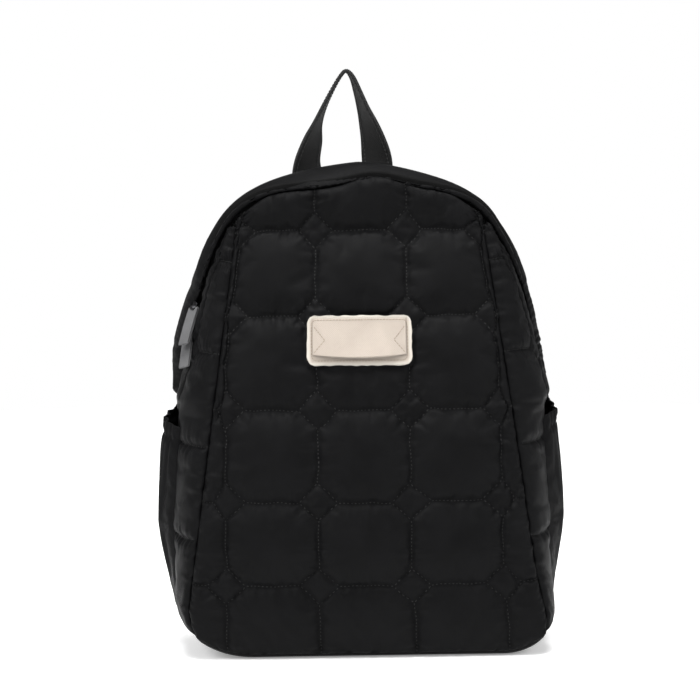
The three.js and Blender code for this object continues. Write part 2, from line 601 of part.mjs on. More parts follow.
// Zip sliders with ribbon pulls, on the left run of the zip
PULLS.forEach((pull, k) => {
  const number = "_" + (k + 1);
  const angle = zipAngles.reduce((best, candidate) => {
    const miss = (value) => Math.abs(zipPoint(value, 0.5).z - pull.z) + (Math.cos(value) > 0 ? BODY_HEIGHT : 0);
    return miss(candidate) < miss(best) ? candidate : best;
  });
  const middle = inward(zipPoint(angle, 0.5), ZIP.sunk);
  const along = zipPoint(angle + 0.02, 0.5).sub(zipPoint(angle - 0.02, 0.5)).normalize();
  const across = zipPoint(angle, 1).sub(zipPoint(angle, 0));
  const out = along.clone().cross(across).normalize();
  if (out.y > 0) out.negate();

  const half = SLIDER.length / 2;
  const profile = new THREE.Shape(
    [
      [-half, 0],
      [half, 0],
      [half, SLIDER.base],
      [half * 0.4, SLIDER.base],
      [half * 0.25, SLIDER.bridge],
      [-half * 0.25, SLIDER.bridge],
      [-half * 0.4, SLIDER.base],
      [-half, SLIDER.base],
    ].map(([x, y]) => new THREE.Vector2(x, y)),
  );
  const body = new THREE.ExtrudeGeometry(profile, { depth: SLIDER.width, bevelEnabled: false });
  body.translate(0, 0, -SLIDER.width / 2);
  const slider = add("zip_slider" + number, body, MATERIALS.slider);
  slider.quaternion.setFromRotationMatrix(new THREE.Matrix4().makeBasis(along, out, along.clone().cross(out)));
  slider.position.copy(middle).addScaledVector(out, SEAT);

  const start = middle.clone().addScaledVector(out, SLIDER.bridge + TAB.lift + TAB.thick / 2);
  const end = point(pull.endX, pull.endY, pull.endZ);
  const bend = start.clone().lerp(end, 0.4).addScaledVector(out, TAB.bend);
  const path = new THREE.QuadraticBezierCurve3(start, bend, end);
  const rows = path.getPoints(5).map((at) => ({
    at,
    across: TAB_WIDTH_DIRECTION,
    width: TAB.width,
    thick: TAB.thick,
  }));
  add("pull_tab" + number, sweep(rows, FLAT_SECTION), MATERIALS.ribbon);
});

export default bag;
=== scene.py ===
"""A quilted nylon day backpack standing on a pale floor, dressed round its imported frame."""

import json
import math
import bmesh
import bpy
from mathutils import Matrix, Vector, noise

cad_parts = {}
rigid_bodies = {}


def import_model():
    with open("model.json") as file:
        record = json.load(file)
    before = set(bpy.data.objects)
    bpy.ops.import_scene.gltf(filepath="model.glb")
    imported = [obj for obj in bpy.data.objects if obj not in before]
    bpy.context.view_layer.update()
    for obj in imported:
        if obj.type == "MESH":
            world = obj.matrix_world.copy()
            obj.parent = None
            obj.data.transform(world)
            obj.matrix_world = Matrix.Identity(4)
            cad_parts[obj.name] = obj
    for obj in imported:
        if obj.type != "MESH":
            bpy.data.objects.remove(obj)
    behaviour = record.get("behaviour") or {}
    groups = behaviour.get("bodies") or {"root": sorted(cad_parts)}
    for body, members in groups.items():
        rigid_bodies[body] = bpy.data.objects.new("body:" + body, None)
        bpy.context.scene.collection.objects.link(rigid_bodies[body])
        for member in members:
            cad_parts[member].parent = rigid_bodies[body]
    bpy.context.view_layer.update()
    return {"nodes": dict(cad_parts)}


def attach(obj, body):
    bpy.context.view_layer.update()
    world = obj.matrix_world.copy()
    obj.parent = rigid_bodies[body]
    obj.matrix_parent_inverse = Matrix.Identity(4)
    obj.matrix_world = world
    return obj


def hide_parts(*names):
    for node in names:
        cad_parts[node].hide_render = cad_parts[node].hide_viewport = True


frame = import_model()

# Studio: a pale floor under a pale surround, broad soft lights from both sides and above, and a long
# lens a little above the middle of the bag and to its left, as the photograph was taken.
MM = 0.001
AIM = Vector((-0.0083, 0.0, 0.2363))
CAMERA = {"azimuth": -1.8, "elevation": 5.4, "roll": 0.5, "distance": 2.112, "view": 0.5551}
LIGHTS = [
    {"name": "left_softbox", "at": (-1.6, -1.4, 1.6), "size": 1.2, "watts": 42},
    {"name": "right_softbox", "at": (1.7, -1.1, 1.3), "size": 1.2, "watts": 22},
    {"name": "top_softbox", "at": (0.0, -0.4, 2.3), "size": 1.3, "watts": 72},
]
SURROUND = {"seen": 1.0, "light": 0.45}
FLOOR = {"radius": 1.7, "sides": 96, "glow": 0.25}


def add_node(tree, kind, inputs=(), **settings):
    made = tree.nodes.new(kind)
    for key, value in settings.items():
        setattr(made, key, value)
    for key, value in dict(inputs).items():
        if isinstance(value, bpy.types.NodeSocket):
            tree.links.new(value, made.inputs[key])
        else:
            made.inputs[key].default_value = value
    return made


def tone_group():
    """Soft uneven patches over a surface, from 0 to 1, at a given number of patches to the metre."""
    tree = bpy.data.node_groups.new("tone", "ShaderNodeTree")
    tree.interface.new_socket("Scale", in_out="INPUT", socket_type="NodeSocketFloat")
    tree.interface.new_socket("Tone", in_out="OUTPUT", socket_type="NodeSocketFloat")
    given = tree.nodes.new("NodeGroupInput")
    place = add_node(tree, "ShaderNodeTexCoord")
    patches = add_node(tree, "ShaderNodeTexNoise", {
        "Vector": place.outputs["Object"], "Scale": given.outputs["Scale"], "Detail": 3, "Roughness": 0.6,
    })
    spread = add_node(tree, "ShaderNodeMapRange", {
        "Value": patches.outputs["Fac"], "From Min": 0.3, "From Max": 0.7,
    })
    add_node(tree, "NodeGroupOutput", {"Tone": spread.outputs["Result"]})
    return tree


tone = tone_group()


def shader_of(material):
    return material.node_tree.nodes["Principled BSDF"]


def finish(name, dark, light, roughness, patches=40, specular=0.5):
    """A material whose colour and gloss vary softly between two values."""
    material = bpy.data.materials.new(name)
    material.use_nodes = True
    tree = material.node_tree
    shader = shader_of(material)
    shader.inputs["Specular IOR Level"].default_value = specular
    uneven = add_node(tree, "ShaderNodeGroup", {}, node_tree=tone)
    uneven.inputs["Scale"].default_value = patches
    colour = add_node(tree, "ShaderNodeMix", {"Factor": uneven.outputs["Tone"]}, data_type="RGBA")
    colour.inputs[6].default_value = (*dark, 1)
    colour.inputs[7].default_value = (*light, 1)
    gloss = add_node(tree, "ShaderNodeMapRange", {
        "Value": uneven.outputs["Tone"], "To Min": roughness[0], "To Max": roughness[1],
    })
    tree.links.new(colour.outputs[2], shader.inputs["Base Color"])
    tree.links.new(gloss.outputs["Result"], shader.inputs["Roughness"])
    return material


def new_piece(name, bm, material):
    mesh = bpy.data.meshes.new(name)
    bm.to_mesh(mesh)
    bm.free()
    mesh.materials.append(material)
    mesh.shade_smooth()
    piece = bpy.data.objects.new(name, mesh)
    bpy.context.scene.collection.objects.link(piece)
    return piece


bm = bmesh.new()
bmesh.ops.create_circle(bm, cap_ends=True, segments=FLOOR["sides"], radius=FLOOR["radius"])
floor_paint = finish("floor_paint", (0.93, 0.93, 0.93), (0.95, 0.95, 0.95), (0.6, 0.7), patches=2)
shader_of(floor_paint).inputs["Emission Color"].default_value = (1, 1, 1, 1)
shader_of(floor_paint).inputs["Emission Strength"].default_value = FLOOR["glow"]
new_piece("floor", bm, floor_paint)

world = bpy.data.worlds.new("surround")
bpy.context.scene.world = world
world.use_nodes = True
seen = world.node_tree.nodes["Background"]
seen.inputs["Color"].default_value = (1, 1, 1, 1)
seen.inputs["Strength"].default_value = SURROUND["seen"]
lit = add_node(world.node_tree, "ShaderNodeBackground", {
    "Color": (1, 1, 1, 1), "Strength": SURROUND["light"],
})
ray = add_node(world.node_tree, "ShaderNodeLightPath")
choice = add_node(world.node_tree, "ShaderNodeMixShader", {
    0: ray.outputs["Is Camera Ray"], 1: lit.outputs["Background"], 2: seen.outputs["Background"],
})
world.node_tree.links.new(choice.outputs["Shader"], world.node_tree.nodes["World Output"].inputs["Surface"])

for row in LIGHTS:
    light = bpy.data.lights.new(row["name"], "AREA")
    light.size = row["size"]
    light.energy = row["watts"]
    lamp = bpy.data.objects.new(row["name"], light)
    bpy.context.scene.collection.objects.link(lamp)
    lamp.location = row["at"]
    lamp.rotation_euler = (AIM - lamp.location).to_track_quat("-Z", "Y").to_euler()

azimuth = math.radians(CAMERA["azimuth"])
elevation = math.radians(CAMERA["elevation"])
to_camera = Vector((
    math.sin(azimuth) * math.cos(elevation),
    -math.cos(azimuth) * math.cos(elevation),
    math.sin(elevation),
))
lens = bpy.data.cameras.new("camera")
lens.sensor_width = 36
lens.lens = lens.sensor_width * CAMERA["distance"] / CAMERA["view"]
camera = bpy.data.objects.new("camera", lens)
bpy.context.scene.collection.objects.link(camera)
camera.location = AIM + to_camera * CAMERA["distance"]
level = (-to_camera).to_track_quat("-Z", "Y").to_matrix()
camera.rotation_euler = (level @ Matrix.Rotation(math.radians(-CAMERA["roll"]), 3, "Z")).to_euler()
bpy.context.scene.camera = camera
bpy.context.scene.view_settings.view_transform = "Standard"

# Front panel: black nylon over thin wadding, quilted in square cells with clipped corners and a small
# diamond where the lines cross, and sewn into the side panels, the base and the zip tape.
BODY = {"height": 376, "half_width": 140, "back_y": 52, "front_y": -58, "neutral_y": 25, "neutral_span": 27}
BOTTOM = {"half_width": 143, "corner": 18, "edge": 3}
BOTTOM_ROUND = {-1: {"width": 57, "height": 42}, 1: {"width": 41, "height": 35}}
FOOT = 200
ZIP_ARCH = {"a": 121, "b": 163, "p": 4.3}
ZIP_TOP = FOOT + ZIP_ARCH["b"]
ZIP_RUN = {"front": -14, "back": 40, "power": 1.5}
TOP_CORNER_HALF_WIDTH = 98.5
FRONT_LEAN = 2.2
DOME = {"height": 18, "foot": 8}
ZIP_HUMP = {"front": 10, "gusset": 7, "lift": 4, "at": 12, "width": 26, "from": 70, "to": 94}
QUILT_ROWS = [59, 124, 195, 267, 333]
QUILT_COLUMNS = [36, 108]
QUILT_EDGE = 6
CELL = 24
CELL_SIZE = 3
DIAMOND = 5
FRONT_MARGIN = {"side": 10, "bottom": 19, "top": 13}
PATCH = {"x": -2.5, "z": 247.2, "half_width": 40.5, "half_height": 18.8, "corner": 6, "seat": 2.5}
WALL = 2.6
SEAM = {"depth": 3.4, "width": 3.2, "bottom": 1.2, "calm": 6}
GROOVE = {"depth": 2.6, "width": 2.2}
WANDER = {"wave": 13, "amount": 1.5, "margin": 5, "seed": 7}
PUCKER = {"height": 1.5, "wave": 4.2, "reach": 4.4, "uneven": 1.2, "near": 1.2}
NYLON = {"dark": (0.0024, 0.0024, 0.0026), "light": (0.0038, 0.0038, 0.0041), "roughness": (0.42, 0.56)}
THREADS = 2500
CREASES = 60


def lerp(a, b, t):
    return a + (b - a) * t


def clamp(value, low=0.0, high=1.0):
    return max(low, min(high, value))


def smooth(value, low, high):
    t = clamp((value - low) / (high - low))
    return t * t * (3 - 2 * t)


def along(knots, place):
    k = min(int(place), len(knots) - 2)
    return lerp(knots[k], knots[k + 1], place - k)


def place_between(knots, value):
    k = max(n for n in range(len(knots) - 1) if value >= knots[n])
    return k + (value - knots[k]) / (knots[k + 1] - knots[k])


def arch_half_width(arch, z):
    return arch["a"] * max(0, 1 - ((z - FOOT) / arch["b"]) ** arch["p"]) ** (1 / arch["p"])


def arch_height(arch, x):
    return FOOT + arch["b"] * max(0, 1 - abs(x / arch["a"]) ** arch["p"]) ** (1 / arch["p"])


def zip_y(z):
    low = max(0, (ZIP_TOP - z) / ZIP_ARCH["b"])
    return lerp(ZIP_RUN["front"], ZIP_RUN["back"], low ** ZIP_RUN["power"])


TOP_CORNER = arch_height(ZIP_ARCH, TOP_CORNER_HALF_WIDTH)


def side_of(x):
    return 1 if x > 0 else -1


def tuck(z, sign):
    """How far the rounded bottom corner of one side lies in from the straight seam at a height."""
    low = clamp(1 - z / BOTTOM_ROUND[sign]["height"])
    return BOTTOM_ROUND[sign]["width"] * (1 - math.sqrt(1 - low * low))


def corner_curl(u):
    """How far the base has curled up to the corner seam, from 0 to 1, at a share of its half width."""
    sign = side_of(u)
    low = 1 - BOTTOM["corner"] / BOTTOM_ROUND[sign]["height"]
    reach = math.sqrt(1 - low * low)
    curled = BOTTOM_ROUND[sign]["width"] * reach / (BOTTOM["half_width"] - tuck(BOTTOM["corner"], sign))
    s = reach * clamp(1 - (1 - abs(u)) / curled)
    return (1 - math.sqrt(1 - s * s)) / (1 - low)


def edge_rise(u):
    return BOTTOM["edge"] + (BOTTOM["corner"] - BOTTOM["edge"]) * corner_curl(u)


def front_half_width(z, sign):
    rise = (z - BOTTOM["corner"]) / (TOP_CORNER - BOTTOM["corner"])
    return lerp(BOTTOM["half_width"], TOP_CORNER_HALF_WIDTH, rise) - tuck(z, sign)


def front_seam_y(z):
    return BODY["front_y"] + (zip_y(TOP_CORNER) - BODY["front_y"]) * (z / TOP_CORNER) ** FRONT_LEAN


def zip_hump(x):
    """The zip rides up a little to the right of the middle."""
    return math.exp(-(((x - ZIP_HUMP["at"]) / ZIP_HUMP["width"]) ** 2))


def front_top(x, u):
    calm = 1 - smooth(abs(x), ZIP_HUMP["from"], ZIP_HUMP["to"])
    raised = ZIP_HUMP["front"] * zip_hump(x) + ZIP_HUMP["lift"]
    return arch_height(ZIP_ARCH, u * TOP_CORNER_HALF_WIDTH) + raised * calm


def front_point(level, column):
    edge_z = along([BOTTOM["corner"], *QUILT_ROWS, TOP_CORNER], level)
    width = front_half_width(edge_z, side_of(column))
    outer = min(QUILT_COLUMNS[1], width - QUILT_EDGE)
    x = math.copysign(along([0, QUILT_COLUMNS[0], outer, width], abs(column)), column)
    u = x / width
    top = arch_height(ZIP_ARCH, u * TOP_CORNER_HALF_WIDTH)
    z = along([edge_rise(u), *QUILT_ROWS, front_top(x, u)], level)
    v = (edge_z - BOTTOM["corner"]) / (TOP_CORNER - BOTTOM["corner"])
    dome = DOME["height"] * (1 - u * u) * (1 - (1 - v) ** DOME["foot"]) * (1 - v * v)
    to_zip = (zip_y(top) - zip_y(TOP_CORNER)) * clamp(level - len(QUILT_ROWS)) ** 2
    return Vector((x, front_seam_y(edge_z) - dome + to_zip, z))


def inward(p, depth):
    """Moves a point of the shell in by one common map, so that the walls of a seam stay together."""
    return Vector((
        p.x * (1 - depth / BODY["half_width"]),
        p.y - depth * clamp((p.y - BODY["neutral_y"]) / BODY["neutral_span"], -1, 1),
        p.z + depth * (1 - 2 * p.z / BODY["height"]),
    ))


def weave_group():
    """Crossing threads on a sheet's own UV map: the height of the cloth, from 0 to 1."""
    tree = bpy.data.node_groups.new("weave", "ShaderNodeTree")
    tree.interface.new_socket("Threads", in_out="INPUT", socket_type="NodeSocketFloat")
    tree.interface.new_socket("Height", in_out="OUTPUT", socket_type="NodeSocketFloat")
    given = tree.nodes.new("NodeGroupInput")
    cloth = add_node(tree, "ShaderNodeUVMap", uv_map="cloth")
    turns = add_node(tree, "ShaderNodeVectorMath", {
        0: cloth.outputs["UV"], "Scale": given.outputs["Threads"],
    }, operation="SCALE")
    split = add_node(tree, "ShaderNodeSeparateXYZ", {"Vector": turns.outputs["Vector"]})
    waves = []
    for axis in ("X", "Y"):
        angle = add_node(tree, "ShaderNodeMath", {0: split.outputs[axis], 1: math.pi}, operation="MULTIPLY")
        waves.append(add_node(tree, "ShaderNodeMath", {0: angle.outputs[0]}, operation="SINE"))
    squares = [
        add_node(tree, "ShaderNodeMath", {0: wave.outputs[0], 1: 2}, operation="POWER") for wave in waves
    ]
    both = add_node(tree, "ShaderNodeMath", {
        0: waves[0].outputs[0], 1: waves[1].outputs[0],
    }, operation="MULTIPLY")
    over = add_node(tree, "ShaderNodeMath", {0: both.outputs[0], 1: 0}, operation="GREATER_THAN")
    height = add_node(tree, "ShaderNodeMix", {
        "Factor": over.outputs[0], "A": squares[0].outputs[0], "B": squares[1].outputs[0],
    })
    add_node(tree, "NodeGroupOutput", {"Height": height.outputs["Result"]})
    return tree


weave = weave_group()


def cloth_finish(name, colours, threads, depth, crease=0.0, specular=0.5):
    """A woven material: uneven colour, threads as fine relief, and soft creases over them."""
    material = finish(name, colours["dark"], colours["light"], colours["roughness"], specular=specular)
    tree = material.node_tree
    woven = add_node(tree, "ShaderNodeGroup", {}, node_tree=weave)
    woven.inputs["Threads"].default_value = threads
    fine = add_node(tree, "ShaderNodeBump", {"Height": woven.outputs["Height"], "Distance": depth * MM})
    last = fine
    if crease:
        place = add_node(tree, "ShaderNodeTexCoord")
        soft = add_node(tree, "ShaderNodeTexNoise", {
            "Vector": place.outputs["Object"], "Scale": CREASES, "Detail": 4, "Roughness": 0.55,
        })
        last = add_node(tree, "ShaderNodeBump", {
            "Height": soft.outputs["Fac"], "Distance": crease * MM, "Normal": fine.outputs["Normal"],
        })
    tree.links.new(last.outputs["Normal"], shader_of(material).inputs["Normal"])
    return material


def cloth_sheet(name, columns, rows, place, material, cell=CELL_SIZE, flip=False):
    """A sheet of columns x rows cells whose corners place(i, j) puts in millimetres."""
    bm = bmesh.new()
    bmesh.ops.create_grid(bm, x_segments=columns, y_segments=rows, size=0.5)
    column = bm.verts.layers.float.new("column")
    row = bm.verts.layers.float.new("row")
    cloth = bm.loops.layers.uv.new("cloth")
    for v in bm.verts:
        v[column] = round((v.co.x + 0.5) * columns)
        v[row] = round((v.co.y + 0.5) * rows)
        v.co = place(v[column], v[row]) * MM
    for face in bm.faces:
        for loop in face.loops:
            loop[cloth].uv = (loop.vert[column] * cell * MM, loop.vert[row] * cell * MM)
    if flip:
        bmesh.ops.reverse_faces(bm, faces=bm.faces)
    return new_piece(name, bm, material)


def sheet_places(piece):
    columns = piece.data.attributes["column"].data
    rows = piece.data.attributes["row"].data
    return [(columns[k].value, rows[k].value) for k in range(len(piece.data.vertices))]


def swell(piece, sewn, pressure=20, slack=0.02, frames=24):
    """Blows a sheet out as cloth with some slack between the points where sewn(i, j) holds it."""
    group = piece.vertex_groups.new(name="sewn")
    group.add([k for k, (i, j) in enumerate(sheet_places(piece)) if sewn(i, j)], 1.0, "REPLACE")
    cloth = piece.modifiers.new("swell", "CLOTH")
    cloth.settings.vertex_group_mass = "sewn"
    cloth.settings.quality = 5
    cloth.settings.mass = 0.1
    cloth.settings.air_damping = 5
    cloth.settings.tension_stiffness = 10
    cloth.settings.compression_stiffness = 10
    cloth.settings.shear_stiffness = 3.3
    cloth.settings.bending_stiffness = 0.5
    cloth.settings.shrink_min = -slack
    cloth.settings.use_pressure = True
    cloth.settings.uniform_pressure_force = pressure
    cloth.settings.effector_weights.gravity = 0
    cloth.collision_settings.use_collision = False
    for number in range(1, frames + 1):
        bpy.context.scene.frame_set(number)
    shaped = piece.evaluated_get(bpy.context.evaluated_depsgraph_get()).data
    points = [v.co.copy() for v in shaped.vertices]
    piece.modifiers.remove(cloth)
    piece.vertex_groups.clear()
    for v, point in zip(piece.data.vertices, points):
        v.co = point
    bpy.context.scene.frame_set(1)


def refine(piece, shape, levels=1):
    """Halves the cells of a sheet and moves each point to shape(point, normal, i, j), in millimetres."""
    finer = piece.modifiers.new("finer", "SUBSURF")
    finer.levels = finer.render_levels = levels
    finer.boundary_smooth = "PRESERVE_CORNERS"
    shaped = bpy.data.meshes.new_from_object(piece.evaluated_get(bpy.context.evaluated_depsgraph_get()))
    piece.modifiers.remove(finer)
    piece.data = shaped
    normals = [v.normal.copy() for v in shaped.vertices]
    places = sheet_places(piece)
    for v, normal, (i, j) in zip(shaped.vertices, normals, places):
        v.co = shape(v.co / MM, normal, i, j) * MM
    shaped.update()


def thicken(piece, thickness, offset=-1):
    wall = piece.modifiers.new("wall", "SOLIDIFY")
    wall.thickness = thickness * MM
    wall.offset = offset


def stitched(i, j, columns, rows):
    """Whether a corner of the cells lies on a quilting line."""
    di = min(abs(i - line) for line in columns)
    dj = min(abs(j - line) for line in rows)
    return di + dj == DIAMOND or (dj == 0 and di > DIAMOND) or (di == 0 and dj > DIAMOND)


def to_quilting(i, j, columns, rows):
    """How far a place is from the nearest quilting line, and where along that line, in cells."""
    near_i = min(columns, key=lambda line: abs(i - line))
    near_j = min(rows, key=lambda line: abs(j - line))
    di, dj = abs(i - near_i), abs(j - near_j)
    best = (abs(di + dj - DIAMOND) / math.sqrt(2), (di - dj) / math.sqrt(2) + near_i + near_j)
    if di > DIAMOND:
        best = min(best, (dj, i))
    if dj > DIAMOND:
        best = min(best, (di, j))
    return best


def pucker(place, distance, seed):
    """Small uneven folds across a sewn line: place along the line and distance from it, in millimetres."""
    fold = noise.noise(Vector((place / PUCKER["wave"], seed, 0.5)))
    uneven = noise.noise(Vector((place / (2 * PUCKER["wave"]), seed, 4.5)))
    reach = PUCKER["reach"] * (1 + PUCKER["uneven"] * uneven)
    fade = math.exp(-distance / max(reach, 1)) * (1 - math.exp(-distance / PUCKER["near"]))
    return 2 * PUCKER["height"] * fold * fade


def nearest_seam(place, i, j, columns, rows):
    """The distance to a sheet's nearest sewn edge, the place along it in cells, and how far it turns in."""
    here = place(i, j)
    return min(
        ((here - place(0, j)).length, j, SEAM["depth"]),
        ((here - place(columns, j)).length, j, SEAM["depth"]),
        ((here - place(i, 0)).length, i, SEAM["bottom"]),
        ((here - place(i, rows)).length, i, SEAM["depth"]),
    )


def sewn_surface(point, normal, i, j, place, columns, rows, lines, seed):
    """Adds to a swollen sheet its stitch grooves, the puckers beside them and the turned-in seam edges."""
    to_edge, edge_place, depth = nearest_seam(place, i, j, columns, rows)
    to_line, line_place = to_quilting(i, j, *lines)
    to_line *= CELL_SIZE
    groove = -GROOVE["depth"] * math.exp(-to_line / GROOVE["width"])
    folds = pucker(line_place * CELL_SIZE, to_line, seed)
    folds += pucker(edge_place * CELL_SIZE, to_edge, seed + 3)
    calm = smooth(to_edge, 0, SEAM["calm"])
    return inward(point + normal * (groove * calm + folds), depth * math.exp(-to_edge / SEAM["width"]))


front_lines = [FRONT_MARGIN["side"] + CELL * k for k in range(4)]
front_rows = [FRONT_MARGIN["bottom"] + CELL * k for k in range(5)]
FRONT_COLUMNS = front_lines[-1] + FRONT_MARGIN["side"]
FRONT_ROWS = front_rows[-1] + FRONT_MARGIN["top"]
noise.seed_set(WANDER["seed"])


def front_place(i, j):
    """A place on the front panel, whose quilting lines wander a little off true."""
    column = along([-3, -2, -1, 1, 2, 3], place_between([0, *front_lines, FRONT_COLUMNS], i))
    p = front_point(place_between([0, *front_rows, FRONT_ROWS], j), column)
    inside = smooth(min(i, FRONT_COLUMNS - i, j, FRONT_ROWS - j), 0, WANDER["margin"])
    drift = noise.noise_vector(p / WANDER["wave"]) * WANDER["amount"] * inside
    return p + Vector((drift.x, 0, drift.z))


def under_patch(p):
    return abs(p.x - PATCH["x"]) < PATCH["half_width"] and abs(p.z - PATCH["z"]) < PATCH["half_height"]


def front_start(i, j):
    p = front_place(i, j)
    return p + Vector((0, -PATCH["seat"], 0)) if under_patch(p) else p


def front_sewn(i, j):
    border = i in (0, FRONT_COLUMNS) or j in (0, FRONT_ROWS)
    return border or stitched(i, j, front_lines, front_rows) or under_patch(front_place(i, j))


def front_surface(point, normal, i, j):
    if under_patch(front_place(i, j)):
        return point
    return sewn_surface(
        point, normal, i, j, front_place, FRONT_COLUMNS, FRONT_ROWS, (front_lines, front_rows), 1,
    )


nylon = cloth_finish("black_nylon", NYLON, THREADS, depth=0.03, crease=0.35, specular=0.05)
front = cloth_sheet("front_panel_quilted", FRONT_COLUMNS, FRONT_ROWS, front_start, nylon)
swell(front, front_sewn)
refine(front, front_surface)
thicken(front, WALL)
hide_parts("front_panel")
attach(front, "root")

# Side panels: the same quilted nylon, bowed outwards between the front seam and the back seam, and
# narrowing to a point under the zip. They lie flat under the side pockets.
BACK_HALF_WIDTH = {"base": 125.4, "slope": 0.077}
BACK_ARCH = {"a": 140.8, "b": 169, "p": 2.2}
SEAM_FOOT = 187
ZIP_FLARE = {"from": 330, "out": {-1: 24, 1: 29}, "power": {-1: 1.3, 1: 1.05}}
SIDE_KNEE = 40
SIDE_BOW = {"foot": 0.09, "low": 0.16, "full": 100, "high": {-1: 0.1, 1: 0.15}, "from": 150, "to": 230}
SIDE_QUILT_ROWS = [94, 166, 238, 310]
SIDE_QUILT_COLUMNS = [62, 104]
SIDE_NARROW = {"first": 0.6, "second": 0.85}
SIDE_TOP_GAP = 6
SIDE_TOP = TOP_CORNER - SIDE_TOP_GAP
SIDE_MARGIN = {"bottom": 25, "top": 12}
SIDE_CELLS = [0, 21, 35, 38]
POCKET = {
    "from": 0.44, "to": 0.95, "bottom": 21, "front": 183, "back": 198, "droop": 2, "low": {-1: 6, 1: 0},
}
UNDER_POCKET = {"from": -0.04, "to": 1.1}
SIDES = [{"name": "left", "sign": -1}, {"name": "right", "sign": 1}]


def back_half_width(z, sign):
    if z < FOOT:
        return BACK_HALF_WIDTH["base"] + BACK_HALF_WIDTH["slope"] * z - tuck(z, sign)
    return arch_half_width(BACK_ARCH, z)


def flare(z, sign):
    """How far the zip runs out from its arch towards its foot, on the left or the right side."""
    low = max(0, (ZIP_FLARE["from"] - z) / (ZIP_FLARE["from"] - FOOT))
    return ZIP_FLARE["out"][sign] * low ** ZIP_FLARE["power"][sign]


def zip_edge(z, sign):
    return Vector((arch_half_width(ZIP_ARCH, z) + flare(z, sign), zip_y(z), z))


def side_back_edge(z, sign):
    if z >= FOOT:
        return zip_edge(z, sign)
    if z <= SEAM_FOOT:
        return Vector((back_half_width(z, sign), BODY["back_y"], z))
    seam = Vector((back_half_width(SEAM_FOOT, sign), BODY["back_y"], SEAM_FOOT))
    return seam.lerp(zip_edge(FOOT, sign), (z - SEAM_FOOT) / (FOOT - SEAM_FOOT))


def side_point(z, t, sign=-1):
    """A point of a side panel, with its x to the right whichever side it is for."""
    start = Vector((front_half_width(z, sign), front_seam_y(z), z))
    chord = side_back_edge(z, sign) - start
    out = Vector((chord.y, -chord.x, 0)).normalized()
    rise = clamp((z - BOTTOM["corner"]) / (SIDE_BOW["full"] - BOTTOM["corner"]))
    low = lerp(SIDE_BOW["foot"], SIDE_BOW["low"], rise)
    share = lerp(low, SIDE_BOW["high"][sign], smooth(z, SIDE_BOW["from"], SIDE_BOW["to"]))
    bow = share * chord.length * 4 * t * (1 - t)
    return start + chord * t + out * bow


side_lines = SIDE_CELLS[1:3]
side_rows = [SIDE_MARGIN["bottom"] + CELL * k for k in range(4)]
SIDE_ROWS = side_rows[-1] + SIDE_MARGIN["top"]


def side_share(i, j, sign=-1):
    """The height of a place on a side panel, and its share of the way from the front seam to the back."""
    z = along([BOTTOM["corner"], *SIDE_QUILT_ROWS, SIDE_TOP], place_between([0, *side_rows, SIDE_ROWS], j))
    depth = (side_back_edge(z, sign) - Vector((front_half_width(z, sign), front_seam_y(z), z))).length
    first = min(SIDE_QUILT_COLUMNS[0], SIDE_NARROW["first"] * depth)
    second = min(SIDE_QUILT_COLUMNS[1], lerp(first, depth, SIDE_NARROW["second"]))
    return z, along([0, first, second, depth], place_between(SIDE_CELLS, i)) / depth


def under_pocket(i, j):
    z, t = side_share(i, j)
    share = (t - POCKET["from"]) / (POCKET["to"] - POCKET["from"])
    mouth = lerp(POCKET["front"], POCKET["back"], share) - POCKET["low"][-1]
    return UNDER_POCKET["from"] < share < UNDER_POCKET["to"] and z < mouth


def side_sewn(i, j):
    border = i in (0, SIDE_CELLS[-1]) or j in (0, SIDE_ROWS)
    return border or stitched(i, j, side_lines, side_rows) or under_pocket(i, j)


side_panels = {}
for row in SIDES:
    def side_place(i, j, sign=row["sign"]):
        p = side_point(*side_share(i, j, sign), sign)
        return Vector((sign * p.x, p.y, p.z))

    def side_surface(point, normal, i, j, sign=row["sign"]):
        if under_pocket(i, j):
            return point
        return sewn_surface(
            point, normal, i, j, side_place, SIDE_CELLS[-1], SIDE_ROWS, (side_lines, side_rows), 7 + sign,
        )

    side = cloth_sheet(
        "side_panel_quilted_" + row["name"], SIDE_CELLS[-1], SIDE_ROWS, side_place, nylon,
        flip=row["sign"] < 0,
    )
    swell(side, side_sewn)
    refine(side, side_surface)
    thicken(side, WALL)
    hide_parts("side_panel_" + row["name"])
    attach(side, "root")
    side_panels[row["name"]] = side

# Quilting thread: black sewing thread in straight lockstitches, one to each cell edge, lying in the
# grooves of the front and side panels and holding the nylon down to the wadding.
THREAD = {"radius": 0.34, "share": 0.42, "sides": 5, "lift": 0.2}
ON_LINE = 0.01


def lay_stitch(bm, start, end, normal, thread):
    """One stitch between two points, in metres."""
    run = end - start
    middle = (start + end) / 2 + normal * thread["lift"] * MM
    turn = run.to_track_quat("Z", "Y").to_matrix().to_4x4()
    bmesh.ops.create_cone(
        bm, cap_ends=True, segments=thread["sides"],
        radius1=thread["radius"] * MM, radius2=thread["radius"] * MM,
        depth=run.length * thread["share"], matrix=Matrix.Translation(middle) @ turn,
    )


def sew_lines(bm, piece, lines, skip):
    """Lays a stitch on each cell edge of a panel's quilting lines."""
    corners = {}
    for v, (i, j) in zip(piece.data.vertices, sheet_places(piece)):
        if i == int(i) and j == int(j) and stitched(i, j, *lines) and not skip(i, j):
            corners[int(i), int(j)] = v
    for (i, j), v in corners.items():
        for step in ((1, 0), (0, 1), (1, 1), (1, -1)):
            other = corners.get((i + step[0], j + step[1]))
            if other is None:
                continue
            middle = (i + step[0] / 2, j + step[1] / 2)
            if to_quilting(*middle, *lines)[0] < ON_LINE:
                lay_stitch(bm, v.co, other.co, (v.normal + other.normal).normalized(), THREAD)


